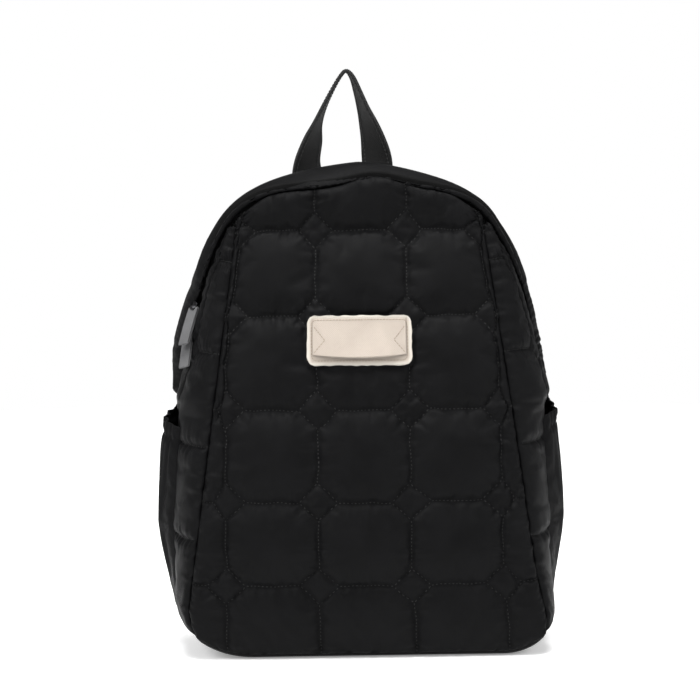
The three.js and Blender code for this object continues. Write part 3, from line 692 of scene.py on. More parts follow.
black_thread = finish(
    "black_thread", (0.002, 0.002, 0.002), (0.02, 0.02, 0.02), (0.4, 0.55), patches=160, specular=0.3,
)
bm = bmesh.new()
sew_lines(bm, front, (front_lines, front_rows), lambda i, j: under_patch(front_place(i, j)))
for side in side_panels.values():
    sew_lines(bm, side, (side_lines, side_rows), under_pocket)
thread = new_piece("quilting_thread", bm, black_thread)
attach(thread, "root")

# Top gusset: one plain band of the same nylon, unpadded, arched from one side of the back over the top
# to the other, and swelling a little between the zip and the back seam.
ZIP = {"gap": 6, "turn": 0.96, "narrow": 30, "least": 0.2, "start": 0.09, "end": 0.4, "steps": 48}
GUSSET_BULGE = {
    "height": 14, "shoulder": {-1: 0.45, 1: 0.58}, "rise": 0.045, "tuck": 0.3,
    "slack": {-1: 0, 1: 0.4}, "slack_from": 0.8, "slack_to": 0.97,
}
GUSSET_LIP = {"forward": 4.0, "inward": 8.0, "share": 0.3}
LIP_FADE = {"forward": (0.05, 0.4), "inward": (0.5, 0.75)}
GUSSET_CELLS = {"along": 168, "across": 16, "size": 4.5, "end": 0.003}
GUSSET_WALL = 1.4
GUSSET_SEAM = {"depth": 3.0, "width": 2.6}


def arch_point(arch, angle):
    across = abs(math.cos(angle) / arch["a"]) ** arch["p"]
    up = abs(math.sin(angle) / arch["b"]) ** arch["p"]
    radius = (across + up) ** (-1 / arch["p"])
    return radius * math.cos(angle), FOOT + radius * math.sin(angle)


def zip_point(angle, across):
    x, z = arch_point(ZIP_ARCH, angle)
    least = ZIP["least"]
    width = across * ZIP["gap"] * clamp(lerp(least, 1, (z - FOOT) / ZIP["narrow"]), least, 1)
    turn = ZIP["turn"] * math.cos(angle) ** 2
    return Vector((
        x + math.copysign(flare(z, side_of(x)), x) + width * math.cos(turn) * math.cos(angle),
        zip_y(z) + width * math.sin(turn),
        z + width * math.cos(turn) * math.sin(angle) + ZIP_HUMP["gusset"] * zip_hump(x) * math.sin(angle),
    ))


def gusset_back(angle):
    x, z = arch_point(BACK_ARCH, angle)
    from_foot = min(angle, math.pi - angle)
    z -= (FOOT - SEAM_FOOT) * max(0, 1 - from_foot / GUSSET_BULGE["tuck"]) ** 2
    if z < FOOT:
        x = math.copysign(back_half_width(z, side_of(x)), x)
    return Vector((x, BODY["back_y"], z))


def gusset_point(angle, t):
    start = zip_point(angle, 1)
    span = gusset_back(angle) - start
    from_foot = min(angle, math.pi - angle)
    side = side_of(math.cos(angle))
    fullness = 1 - GUSSET_BULGE["shoulder"][side] * abs(math.sin(2 * angle))
    low = smooth(abs(math.cos(angle)), GUSSET_BULGE["slack_from"], GUSSET_BULGE["slack_to"])
    fullness -= GUSSET_BULGE["slack"][side] * low
    height = min(GUSSET_BULGE["height"] * fullness, span.length / 2)
    bulge = height * smooth(from_foot, 0, GUSSET_BULGE["rise"]) * 4 * t * (1 - t)
    lip = math.sin(math.pi * clamp(t / GUSSET_LIP["share"]))
    forward = GUSSET_LIP["forward"] * lip * smooth(from_foot, *LIP_FADE["forward"])
    hump = ZIP_HUMP["gusset"] * zip_hump(start.x) * ((1 - t) - (1 - t) ** 3)
    out = bulge - hump - GUSSET_LIP["inward"] * lip * smooth(from_foot, *LIP_FADE["inward"])
    return start + span * t + Vector((math.cos(angle) * out, -forward, math.sin(angle) * out))


def gusset_place(i, j):
    end = GUSSET_CELLS["end"]
    angle = lerp(end, math.pi - end, i / GUSSET_CELLS["along"])
    return gusset_point(angle, j / GUSSET_CELLS["across"])


def gusset_surface(point, normal, i, j):
    here = gusset_place(i, j)
    to_front = (here - gusset_place(i, 0)).length
    to_back = (here - gusset_place(i, GUSSET_CELLS["across"])).length
    along_seam = i * GUSSET_CELLS["size"]
    folds = pucker(along_seam, to_front, seed=21) + pucker(along_seam, to_back, seed=25)
    turned_in = GUSSET_SEAM["depth"] * math.exp(-min(to_front, to_back) / GUSSET_SEAM["width"])
    return inward(point + normal * folds, turned_in)


def gusset_sewn(i, j):
    return i in (0, GUSSET_CELLS["along"]) or j in (0, GUSSET_CELLS["across"])


gusset_nylon = cloth_finish("gusset_nylon", NYLON, THREADS, depth=0.03, crease=0.5, specular=0.05)
gusset = cloth_sheet(
    "top_gusset_cloth", GUSSET_CELLS["along"], GUSSET_CELLS["across"], gusset_place, gusset_nylon,
    cell=GUSSET_CELLS["size"], flip=True,
)
swell(gusset, gusset_sewn, pressure=8, slack=0.006)
refine(gusset, gusset_surface)
thicken(gusset, GUSSET_WALL)
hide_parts("top_gusset")
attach(gusset, "root")

# Zip: a black nylon coil on a woven tape, set down in the recess between the quilted panels and the
# gusset and sewn to both. The coil's turns are laid one by one, left and right in turn.
ZIP_TAPE = {"depth": 7.0, "from": -1.6, "to": 2.6, "along": 300, "across": 12, "thick": 0.8}
ZIP_COIL = {"pitch": 1.5, "across": 2.4, "along": 0.75, "height": 0.9, "shift": 0.55, "lift": 0.3}
COIL_STEPS = {"along": 2000, "ahead": 0.004}

zip_tape_colours = {"dark": (0.002, 0.002, 0.002), "light": (0.003, 0.003, 0.003), "roughness": (0.6, 0.75)}
zip_cloth = cloth_finish("zip_tape_weave", zip_tape_colours, threads=1600, depth=0.08, specular=0.08)


def zip_angle(share):
    return lerp(ZIP["start"], math.pi - ZIP["start"], share)


def tape_place(i, j):
    across = lerp(ZIP_TAPE["from"], ZIP_TAPE["to"], j / ZIP_TAPE["across"])
    return inward(zip_point(zip_angle(i / ZIP_TAPE["along"]), across), ZIP_TAPE["depth"])


tape = cloth_sheet(
    "zip_tape", ZIP_TAPE["along"], ZIP_TAPE["across"], tape_place, zip_cloth, cell=1.5, flip=True,
)
thicken(tape, ZIP_TAPE["thick"])
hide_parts("zip")
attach(tape, "root")

zip_nylon = finish("zip_coil_nylon", (0.004, 0.004, 0.004), (0.008, 0.008, 0.008), (0.3, 0.42), patches=300)


def sunk_zip_point(angle, across):
    return inward(zip_point(angle, across), ZIP_TAPE["depth"])


bm = bmesh.new()
last, count = None, 0
for k in range(COIL_STEPS["along"] + 1):
    angle = zip_angle(k / COIL_STEPS["along"])
    here = sunk_zip_point(angle, 0.5)
    if last is not None and (here - last).length < ZIP_COIL["pitch"]:
        continue
    last, count = here, count + 1
    run = (sunk_zip_point(angle + COIL_STEPS["ahead"], 0.5) - here).normalized()
    side = sunk_zip_point(angle, 1) - sunk_zip_point(angle, 0)
    side = (side - run * side.dot(run)).normalized()
    up = run.cross(side)
    if up.y > 0 and abs(up.y) > abs(up.z) or up.z < 0 and abs(up.z) >= abs(up.y):
        up.negate()
    shift = side * ZIP_COIL["shift"] * (1 if count % 2 else -1)
    sides = (run * ZIP_COIL["along"], side * ZIP_COIL["across"], up * ZIP_COIL["height"])
    axes = Matrix(sides).transposed() * MM
    place = Matrix.Translation((here + up * ZIP_COIL["lift"] + shift) * MM) @ axes.to_4x4()
    bmesh.ops.create_cube(bm, size=1, matrix=place)
bmesh.ops.recalc_face_normals(bm, faces=bm.faces)
coil = new_piece("zip_coil", bm, zip_nylon)
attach(coil, "root")

# Zip sliders: two small metal castings plated black, running on the left side of the coil, with a bridge
# that carries the pull. Their edges are rounded as they leave the mould.
SLIDER = {"bevel": 0.45, "bridge": 4.4}
CASTING = {"weld": 0.02, "flat": 2, "sharp": 20}
plated = finish("black_plating", (0.012, 0.012, 0.013), (0.03, 0.03, 0.032), (0.22, 0.38), patches=400)
shader_of(plated).inputs["Metallic"].default_value = 0.9


def rounded_copy(name, node, bevel, material):
    """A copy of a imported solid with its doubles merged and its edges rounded."""
    bm = bmesh.new()
    bm.from_mesh(frame["nodes"][node].data)
    bmesh.ops.remove_doubles(bm, verts=bm.verts, dist=CASTING["weld"] * MM)
    flat = math.radians(CASTING["flat"])
    bmesh.ops.dissolve_limit(bm, angle_limit=flat, verts=bm.verts, edges=bm.edges)
    least = math.radians(CASTING["sharp"])
    sharp = [edge for edge in bm.edges if edge.is_manifold and edge.calc_face_angle() > least]
    bmesh.ops.bevel(
        bm, geom=sharp, offset=bevel * MM, offset_type="OFFSET", affect="EDGES", segments=3, profile=0.5,
        material=-1, clamp_overlap=True,
    )
    return new_piece(name, bm, material)


for number in ("1", "2"):
    slider = rounded_copy("zip_slider_casting_" + number, "zip_slider_" + number, SLIDER["bevel"], plated)
    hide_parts("zip_slider_" + number)
    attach(slider, "root")

# Ribbon pulls: narrow grey woven ribbon, looped through the bridge of each slider, folded double and
# hanging down the side of the bag.
PULLS = [
    {"z": 276, "end": (-139.7, -7, 243.5)},
    {"z": 256, "end": (-139.6, -8, 225.5)},
]
RIBBON = {"width": 9.5, "cloth": 0.6, "gap": 0.62, "belly": 0.5, "sunk": 0.8, "lift": -2.6}
RIBBON_BEND = {"at": 0.4, "out": 0.5}
RIBBON_CELLS = {"across": 8, "down": 26, "fold": 6}
RIBBON_AHEAD = 0.02
RIBBON_WIDTH = Vector((0.72, -0.69, 0)).normalized()
ribbon_colours = {"dark": (0.073, 0.073, 0.075), "light": (0.112, 0.112, 0.115), "roughness": (0.7, 0.85)}
ribbon_cloth = cloth_finish("grey_ribbon", ribbon_colours, threads=1400, depth=0.12, specular=0.3)


def nearest_zip_angle(z):
    """The one of the zip solid's own steps, on its left run, that lies nearest to a height."""
    end = ZIP["end"] / BACK_ARCH["a"]
    angles = [lerp(end, math.pi - end, k / ZIP["steps"]) for k in range(ZIP["steps"] + 1)]
    left = [angle for angle in angles if math.cos(angle) < 0 and math.pi - angle > ZIP["start"]]
    return min(left, key=lambda angle: abs(zip_point(angle, 0.5).z - z))


for number, pull in enumerate(PULLS, 1):
    angle = nearest_zip_angle(pull["z"])
    middle = inward(zip_point(angle, 0.5), RIBBON["sunk"])
    run = (zip_point(angle + RIBBON_AHEAD, 0.5) - zip_point(angle - RIBBON_AHEAD, 0.5)).normalized()
    out = run.cross(zip_point(angle, 1) - zip_point(angle, 0)).normalized()
    if out.y > 0:
        out.negate()
    start = middle + out * (SLIDER["bridge"] + RIBBON["lift"])
    end = Vector(pull["end"])
    bend = start.lerp(end, RIBBON_BEND["at"]) + out * RIBBON_BEND["out"]

    def ribbon_place(i, j, start=start, bend=bend, end=end):
        down, fold = RIBBON_CELLS["down"], RIBBON_CELLS["fold"]
        t = clamp(j / down) if j <= down else clamp((2 * down + fold - j) / down)
        at = start * (1 - t) ** 2 + bend * 2 * t * (1 - t) + end * t * t
        tangent = ((bend - start) * (1 - t) + (end - bend) * t).normalized()
        across = (RIBBON_WIDTH - tangent * RIBBON_WIDTH.dot(tangent)).normalized()
        face = tangent.cross(across)
        turn = math.pi * clamp((j - down) / fold)
        layer = math.cos(turn) * RIBBON["gap"]
        belly = RIBBON["belly"] * math.sin(math.pi * t) * layer
        reach = math.sin(turn) * RIBBON["gap"]
        beside = (i / RIBBON_CELLS["across"] - 0.5) * RIBBON["width"]
        return at + across * beside + face * (layer + belly) + tangent * reach

    ribbon = cloth_sheet(
        f"ribbon_pull_{number}", RIBBON_CELLS["across"], 2 * RIBBON_CELLS["down"] + RIBBON_CELLS["fold"],
        ribbon_place, ribbon_cloth, cell=1.25,
    )
    thicken(ribbon, RIBBON["cloth"], offset=0)
    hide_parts(f"pull_tab_{number}")
    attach(ribbon, "root")

# Base panel: a plain nylon bottom without quilting, lying flat on the floor and curling up at its ends
# and edges to the seams with the front, the sides and the back.
BASE_CELLS = {"across": 72, "deep": 30}
BASE_FLAT = 0.75


def base_place(i, j):
    column = 2 * i / BASE_CELLS["across"] - 1
    share = j / BASE_CELLS["deep"]
    edge = side_point(BOTTOM["corner"], share, side_of(column))
    end_curl = clamp((abs(2 * share - 1) - BASE_FLAT) / (1 - BASE_FLAT)) ** 2
    curl = corner_curl(column)
    z = BOTTOM["corner"] * curl + BOTTOM["edge"] * (1 - curl) * end_curl
    return Vector((column * edge.x, edge.y, z))


def base_surface(point, normal, i, j):
    to_edge = nearest_seam(base_place, i, j, BASE_CELLS["across"], BASE_CELLS["deep"])[0]
    return inward(base_place(i, j), SEAM["bottom"] * math.exp(-to_edge / SEAM["width"]))


base = cloth_sheet(
    "base_panel_cloth", BASE_CELLS["across"], BASE_CELLS["deep"], base_place, nylon, cell=4, flip=True,
)
refine(base, base_surface)
thicken(base, WALL)
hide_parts("base_panel")
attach(base, "root")

# Back panel: plain nylon over a flat sheet of foam, a little domed in its middle, and sewn all round into
# the sides, the base and the gusset.
BACK_CELLS = {"across": 84, "up": 108}
BACK_PAD = {"height": 4, "border": 4, "slope": 40, "foot": 60, "head": 330}
BACK_SHOULDER = 320


def back_pad(p):
    from_side = back_half_width(p.z, side_of(p.x)) - abs(p.x) - BACK_PAD["border"]
    height = BACK_PAD["height"]
    for distance in (from_side, p.z - BACK_PAD["foot"], BACK_PAD["head"] - p.z):
        height *= smooth(distance, 0, BACK_PAD["slope"])
    return height


def back_place(i, j):
    u = 2 * i / BACK_CELLS["across"] - 1
    v = j / BACK_CELLS["up"]
    edge_z = lerp(BOTTOM["corner"], BACK_SHOULDER, v)
    top = arch_height(BACK_ARCH, u * back_half_width(BACK_SHOULDER, side_of(u)))
    p = Vector((u * back_half_width(edge_z, side_of(u)), BODY["back_y"], lerp(edge_rise(u), top, v)))
    return p + Vector((0, back_pad(p), 0))


def back_surface(point, normal, i, j):
    to_edge, place, depth = nearest_seam(back_place, i, j, BACK_CELLS["across"], BACK_CELLS["up"])
    folds = pucker(place * CELL_SIZE, to_edge, seed=31)
    return inward(back_place(i, j) + normal * folds, depth * math.exp(-to_edge / SEAM["width"]))


back = cloth_sheet(
    "back_panel_padded", BACK_CELLS["across"], BACK_CELLS["up"], back_place, nylon, flip=True,
)
refine(back, back_surface)
thicken(back, WALL)
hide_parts("back_panel")
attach(back, "root")

# Side pockets: a single layer of nylon sewn to each side panel along three edges and gathered by elastic
# in the hem at its mouth, so that it stands off the panel. The mouth rises towards the back.
POCKET_BULGE = {"most": 7.5, "mouth": 5.5, "peak": 0.5, "foot": 2.4, "round": 2.2}
GATHER = {"height": 1.6, "waves": 4.5, "drift": 2, "from": 0.05, "full": 0.4}
FINE_GATHER = {"height": 1.0, "waves": 11, "drift": 5, "from": 0.35, "full": 0.9}
GATHER_DRIFT = {"across": 4, "up": 2.5}
HEM = {"height": 11, "groove": 1.3, "groove_width": 1.5, "puff": 1.0, "turn": 4}
POCKET_CELLS = {"across": 44, "foot": 9, "up": 60}
POCKET_WALL = 1.2
POCKET_SEAT = {"edge": -1, "inside": 0.6, "turn": 0.06}
POCKET_FULL = 1.3
POCKET_STEP = {"deep": 0.01, "up": 1}


def pocket_across(share):
    return 1 - abs(2 * share - 1) ** POCKET_BULGE["round"]


def pocket_mouth(share, sign):
    height = lerp(POCKET["front"], POCKET["back"], share)
    return height - POCKET["droop"] * pocket_across(share) - POCKET["low"][sign]


def gathers(folds, share, v, drift):
    """The height of upright folds that fade in above the foot and wander with a drift."""
    wave = math.sin(share * folds["waves"] * math.tau + folds["drift"] * drift)
    return folds["height"] * wave * smooth(v, folds["from"], folds["full"])


def pocket_lift(share, z, sign):
    v = (z - POCKET["bottom"]) / (POCKET["back"] - POCKET["bottom"])
    most, mouth, peak = POCKET_BULGE["most"], POCKET_BULGE["mouth"], POCKET_BULGE["peak"]
    if v < peak:
        bulge = most * (1 - (1 - v / peak) ** POCKET_BULGE["foot"])
    else:
        bulge = lerp(most, mouth, ((v - peak) / (1 - peak)) ** 2)
    drift = noise.noise(Vector((share * GATHER_DRIFT["across"], v * GATHER_DRIFT["up"], 2.5)))
    folds = gathers(GATHER, share, v, drift) + gathers(FINE_GATHER, share, v, drift)
    from_hem = z - pocket_mouth(share, sign) + HEM["height"]
    hem = HEM["puff"] * smooth(from_hem, 0, HEM["turn"])
    hem -= HEM["groove"] * math.exp(-abs(from_hem) / HEM["groove_width"])
    inside = smooth(min(share, 1 - share), 0, POCKET_SEAT["turn"])
    seat = lerp(POCKET_SEAT["edge"], POCKET_SEAT["inside"], inside)
    return seat + pocket_across(share) * (bulge + POCKET_FULL + folds + hem)


def pocket_share(i, j, sign):
    share = i / POCKET_CELLS["across"]
    if j < POCKET_CELLS["foot"]:
        return share, lerp(POCKET["bottom"], SIDE_KNEE, j / POCKET_CELLS["foot"])
    up = (j - POCKET_CELLS["foot"]) / POCKET_CELLS["up"]
    return share, lerp(SIDE_KNEE, pocket_mouth(share, sign), up)


POCKET_ROWS = POCKET_CELLS["foot"] + POCKET_CELLS["up"]


def pocket_sewn(i, j):
    return i in (0, POCKET_CELLS["across"]) or j in (0, POCKET_ROWS)


for row in SIDES:
    def pocket_place(i, j, sign=row["sign"]):
        share, z = pocket_share(i, j, sign)
        t = lerp(POCKET["from"], POCKET["to"], share)
        here = side_point(z, t, sign)
        ahead = side_point(z, t + POCKET_STEP["deep"], sign)
        above = side_point(z + POCKET_STEP["up"], t, sign)
        p = here + (ahead - here).cross(above - here).normalized() * pocket_lift(share, z, sign)
        return Vector((sign * p.x, p.y, p.z))

    pocket = cloth_sheet(
        "side_pocket_gathered_" + row["name"], POCKET_CELLS["across"], POCKET_ROWS, pocket_place, nylon,
        cell=2.2, flip=row["sign"] < 0,
    )
    swell(pocket, pocket_sewn, pressure=1.5, slack=0.012)
    refine(pocket, lambda point, normal, i, j: point)
    thicken(pocket, POCKET_WALL, offset=1)
    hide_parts("side_pocket_" + row["name"])
    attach(pocket, "root")

# Patch: a plate of cream canvas with rounded corners, cut raw so that its edge is paler and a
# little uneven, laid on the front panel and sewn down all round.
PATCH_CELLS = {"across": 82, "up": 40}
PATCH_THICK = 1.5
PATCH_SEAT = 0.3
CANVAS = {"dark": (0.415, 0.36, 0.31), "light": (0.47, 0.41, 0.355), "roughness": (0.85, 0.95)}
RAW_EDGE = {"colour": (0.58, 0.54, 0.48), "width": 3.2, "full": 0.4}
RAGGED = {"wave": 6, "amount": 0.7, "reach": 2}
CANVAS_THREAD = {"radius": 0.34, "share": 0.7, "sides": 5, "lift": 0.12}


def on_front(x, z):
    """The point of the front panel's base surface at a width and height."""
    row = max(k for k in range(len(QUILT_ROWS) - 1) if QUILT_ROWS[k] <= z)
    level = row + 1 + (z - QUILT_ROWS[row]) / (QUILT_ROWS[row + 1] - QUILT_ROWS[row])
    inner, outer = QUILT_COLUMNS
    column = x / inner if abs(x) < inner else math.copysign(1 + (abs(x) - inner) / (outer - inner), x)
    return front_point(level, column)


def front_normal(x, z):
    here = on_front(x, z)
    return (on_front(x + 1, z) - here).cross(on_front(x, z + 1) - here).normalized()


def off_front(dx, dz, lift):
    x, z = PATCH["x"] + dx, PATCH["z"] + dz
    return on_front(x, z) + front_normal(x, z) * lift


def patch_half_width(dz):
    """Half the width of the patch, with its rounded corners, at a height from its middle."""
    into = clamp(abs(dz) - (PATCH["half_height"] - PATCH["corner"]), 0, PATCH["corner"])
    return PATCH["half_width"] - PATCH["corner"] + math.sqrt(PATCH["corner"] ** 2 - into ** 2)


def patch_flat(i, j):
    """A place on the patch in millimetres from its middle, its cut edge a little uneven."""
    dz = (2 * j / PATCH_CELLS["up"] - 1) * PATCH["half_height"]
    dx = (2 * i / PATCH_CELLS["across"] - 1) * patch_half_width(dz)
    to_edge = min(PATCH["half_width"] - abs(dx), PATCH["half_height"] - abs(dz))
    near = RAGGED["amount"] * math.exp(-to_edge / RAGGED["reach"])
    x, z = dx / RAGGED["wave"], dz / RAGGED["wave"]
    return dx + near * noise.noise(Vector((x, z, 1.5))), dz + near * noise.noise(Vector((x, z, 9.5)))


def patch_place(i, j):
    return off_front(*patch_flat(i, j), PATCH["seat"] + PATCH_SEAT)


def raw_edge_finish(name):
    """Canvas that pales towards its raw edge, by the piece's own attribute."""
    material = cloth_finish(name, CANVAS, threads=1250, depth=0.3, specular=0.2)
    tree = material.node_tree
    colour = shader_of(material).inputs["Base Color"]
    rim = add_node(tree, "ShaderNodeAttribute", attribute_name="raw_edge")
    cloth_colour = colour.links[0].from_socket
    paler = add_node(tree, "ShaderNodeMix", {"Factor": rim.outputs["Fac"]}, data_type="RGBA")
    tree.links.new(cloth_colour, paler.inputs[6])
    paler.inputs[7].default_value = (*RAW_EDGE["colour"], 1)
    tree.links.new(paler.outputs[2], colour)
    return material


def mark_raw_edge(piece, columns, rows, cell):
    """Stores how near each point of a plate is to its cut edge, from 0 to 1."""
    rim = piece.data.attributes.new("raw_edge", "FLOAT", "POINT")
    for k, (i, j) in enumerate(sheet_places(piece)):
        to_edge = min(i, columns - i, j, rows - j) * cell
        rim.data[k].value = 1 - smooth(to_edge, RAW_EDGE["full"] * RAW_EDGE["width"], RAW_EDGE["width"])


canvas = raw_edge_finish("cream_canvas")
patch = cloth_sheet("patch_canvas", PATCH_CELLS["across"], PATCH_CELLS["up"], patch_place, canvas, cell=1)
mark_raw_edge(patch, PATCH_CELLS["across"], PATCH_CELLS["up"], 1)
thicken(patch, PATCH_THICK, offset=1)
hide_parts("patch")
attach(patch, "root")

# Band: a second strip of the same canvas across the patch, caught at its ends by a sewn triangle; its
# lower edge is free and bows away from the patch.
BAND = {"half_width": 36, "bottom": -11, "top": 16.5, "thick": 1.0, "lift": 4.8, "sag": 3, "seat": 0.2}
BAND_CELLS = {"across": 72, "up": 30}


def band_bottom(u):
    return BAND["bottom"] - BAND["sag"] * (1 - u * u)


def band_lift(u, v):
    free = (1 - u * u) * (1 - v) ** 2
    return PATCH["seat"] + PATCH_SEAT + PATCH_THICK + BAND["seat"] + BAND["lift"] * free


def band_place(i, j):
    u = 2 * i / BAND_CELLS["across"] - 1
    v = j / BAND_CELLS["up"]
    return off_front(u * BAND["half_width"], lerp(band_bottom(u), BAND["top"], v), band_lift(u, v))


band = cloth_sheet("patch_band_canvas", BAND_CELLS["across"], BAND_CELLS["up"], band_place, canvas, cell=1)
thicken(band, BAND["thick"], offset=1)
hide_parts("patch_band")
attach(band, "root")

# Patch thread: buff thread in one row of stitches round the patch, just inside its raw edge, and
# in a triangle at each end of the band. It holds both to the front panel.
PATCH_STITCH = {"inset": 3.4, "length": 2.4, "corner_steps": 4}
TRIANGLE = [(35, 10.5), (26.6, 0), (35, -9.5)]
buff_thread = finish("buff_thread", (0.24, 0.20, 0.155), (0.36, 0.31, 0.25), (0.6, 0.75), patches=700)


def sew_path(bm, path, length, lift_at):
    """Stitches of one length along a flat path on the patch, each lying on the canvas under it."""
    for (ax, az), (bx, bz) in zip(path, path[1:]):
        count = max(1, round(math.hypot(bx - ax, bz - az) / length))
        for k in range(count):
            ends = [(lerp(ax, bx, t), lerp(az, bz, t)) for t in (k / count, (k + 1) / count)]
            start, end = (off_front(dx, dz, lift_at(dx, dz)) for dx, dz in ends)
            normal = front_normal(PATCH["x"] + ends[0][0], PATCH["z"] + ends[0][1])
            lay_stitch(bm, start * MM, end * MM, normal, CANVAS_THREAD)


def patch_lift(dx, dz):
    """The height of the canvas over the front panel: the band where it covers the patch, else the patch."""
    top = PATCH["seat"] + PATCH_SEAT + PATCH_THICK
    u = dx / BAND["half_width"]
    v = (dz - band_bottom(u)) / (BAND["top"] - band_bottom(u))
    return band_lift(u, v) + BAND["thick"] if abs(u) < 1 and 0 < v < 1 else top


def rounded_path(inset):
    """The patch's outline, moved in, as a closed path of points."""
    half_width, half_height = PATCH["half_width"] - inset, PATCH["half_height"] - inset
    corner = PATCH["corner"] - inset / 2
    path = []
    for k, (sx, sz) in enumerate(((1, 1), (-1, 1), (-1, -1), (1, -1))):
        for step in range(PATCH_STITCH["corner_steps"] + 1):
            angle = math.radians(90 * (k + step / PATCH_STITCH["corner_steps"]))
            path.append((
                sx * (half_width - corner) + corner * math.cos(angle),
                sz * (half_height - corner) + corner * math.sin(angle),
            ))
    return [*path, path[0]]


bm = bmesh.new()
sew_path(bm, rounded_path(PATCH_STITCH["inset"]), PATCH_STITCH["length"], patch_lift)
for side in (-1, 1):
    sew_path(bm, [(side * dx, dz) for dx, dz in TRIANGLE], PATCH_STITCH["length"], patch_lift)
stitches = new_piece("patch_thread", bm, buff_thread)
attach(stitches, "root")

# Handle: one length of woven tape, sewn flat to the top of the back and turned edge-on at its peak,
# with a row of stitches along each edge.
HANDLE = {"width": 25, "thick": 2.4, "x": -9.5, "y": 54.2, "across": 10, "along": 150}
HANDLE_LOOP = [
    {"x": -30, "z": 355, "turn": 180},
    {"x": -30.5, "z": 370, "turn": 168},
    {"x": -30, "z": 385, "turn": 142},
    {"x": -25.7, "z": 401, "turn": 126},
    {"x": -22, "z": 414, "turn": 107},
    {"x": -16.9, "z": 427, "turn": 98},
    {"x": -10.5, "z": 440, "turn": 94},
    {"x": -3.5, "z": 452, "turn": 92},
    {"x": 1.6, "z": 457, "turn": 90},
    {"x": 6.5, "z": 452, "turn": 86},
    {"x": 11, "z": 440, "turn": 80},
    {"x": 15.2, "z": 427, "turn": 72},
    {"x": 19.5, "z": 414, "turn": 58},
    {"x": 23.1, "z": 401, "turn": 43},
    {"x": 26, "z": 385, "turn": 20},
    {"x": 26.5, "z": 370, "turn": 8},
    {"x": 26.5, "z": 355, "turn": 0},
]
AHEAD = 0.002
webbing_colours = {
    "dark": (0.0045, 0.0045, 0.0045), "light": (0.008, 0.008, 0.008), "roughness": (0.6, 0.75),
}
webbing_cloth = cloth_finish("black_webbing", webbing_colours, threads=900, depth=0.35, specular=0.3)


def read_table(table, share):
    """Named columns of a table, read smoothly at a share of its length."""
    place = share * (len(table) - 1)
    k = min(int(place), len(table) - 2)
    t = place - k
    rows = [table[int(clamp(k + step, 0, len(table) - 1))] for step in (-1, 0, 1, 2)]
    values = {}
    for key in table[0]:
        p, a, b, n = (row[key] for row in rows)
        bend = (2 * p - 5 * a + 4 * b - n) * t * t + (3 * (a - b) + n - p) * t ** 3
        values[key] = a + 0.5 * ((b - p) * t + bend)
    return values


def handle_frame(share):
    row = read_table(HANDLE_LOOP, share)
    at = Vector((HANDLE["x"] + row["x"], HANDLE["y"], row["z"]))
    ahead = read_table(HANDLE_LOOP, min(share + AHEAD, 1))
    behind = read_table(HANDLE_LOOP, max(share - AHEAD, 0))
    tangent = Vector((ahead["x"] - behind["x"], 0, ahead["z"] - behind["z"])).normalized()
    angle = math.radians(row["turn"])
    across = Vector((math.cos(angle), -math.sin(angle), 0))
    across = (across - tangent * across.dot(tangent)).normalized()
    return at, across, tangent.cross(across)


def handle_place(i, j):
    at, across, _ = handle_frame(j / HANDLE["along"])
    return at + across * (i / HANDLE["across"] - 0.5) * HANDLE["width"]


handle = cloth_sheet(
    "handle_tape", HANDLE["across"], HANDLE["along"], handle_place, webbing_cloth, cell=2.5,
)
thicken(handle, HANDLE["thick"], offset=0)
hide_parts("handle")
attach(handle, "root")

HANDLE_STITCH = {"inset": 3, "count": 84, "radius": 0.34, "share": 0.7, "sides": 5, "lift": 0.1}
grey_thread = finish("handle_thread", (0.012, 0.012, 0.012), (0.03, 0.03, 0.03), (0.4, 0.55), patches=700)
bm = bmesh.new()
for k in range(HANDLE_STITCH["count"]):
    at, across, out = handle_frame(k / HANDLE_STITCH["count"])
    then = handle_frame((k + 1) / HANDLE_STITCH["count"])
    for edge in (-1, 1):
        beside = edge * (HANDLE["width"] / 2 - HANDLE_STITCH["inset"])
        for face in (-1, 1):
            rise = face * HANDLE["thick"] / 2
            start = (at + across * beside + out * rise) * MM
            end = (then[0] + then[1] * beside + then[2] * rise) * MM
            lay_stitch(bm, start, end, out * face, HANDLE_STITCH)
handle_thread = new_piece("handle_thread", bm, grey_thread)
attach(handle_thread, "root")

# Shoulder straps: two padded nylon straps sewn to the top of the back, hanging in a bow down to an
# adjuster, each with a webbing tail sewn into the lower corner.
STRAP = {"thick": 9, "around": 28, "along": 72, "seated": 0.3, "flat": 0.4, "round": 0.8, "weld": 0.01}
STRAP_RUN = [
    {"z": 349, "out": 0.4, "x": 43, "width": 54, "thick": 0.35},
    {"z": 338, "out": 1.6, "x": 43.5, "width": 56, "thick": 0.7},
    {"z": 300, "out": 15, "x": 46, "width": 58, "thick": 1},
    {"z": 250, "out": 27, "x": 50, "width": 58, "thick": 1},
    {"z": 200, "out": 30, "x": 55, "width": 57, "thick": 1},
    {"z": 155, "out": 27, "x": 62, "width": 54, "thick": 1},
    {"z": 122, "out": 21, "x": 71, "width": 40, "thick": 0.8},
]
SEAT = 0.3


def strap_at(share):
    row = read_table(STRAP_RUN, share)
    thick = STRAP["thick"] * row["thick"]
    seat = BODY["back_y"] + back_pad(Vector((row["x"], BODY["back_y"], row["z"])))
    face = BODY["back_y"] + BACK_PAD["height"]
    y = lerp(seat, face, smooth(share, 0, STRAP["seated"])) + SEAT + row["out"] + thick / 2
    return Vector((row["x"], y, row["z"])), row["width"], thick


def soft_power(value, power):
    return math.copysign(abs(value) ** power, value) / 2


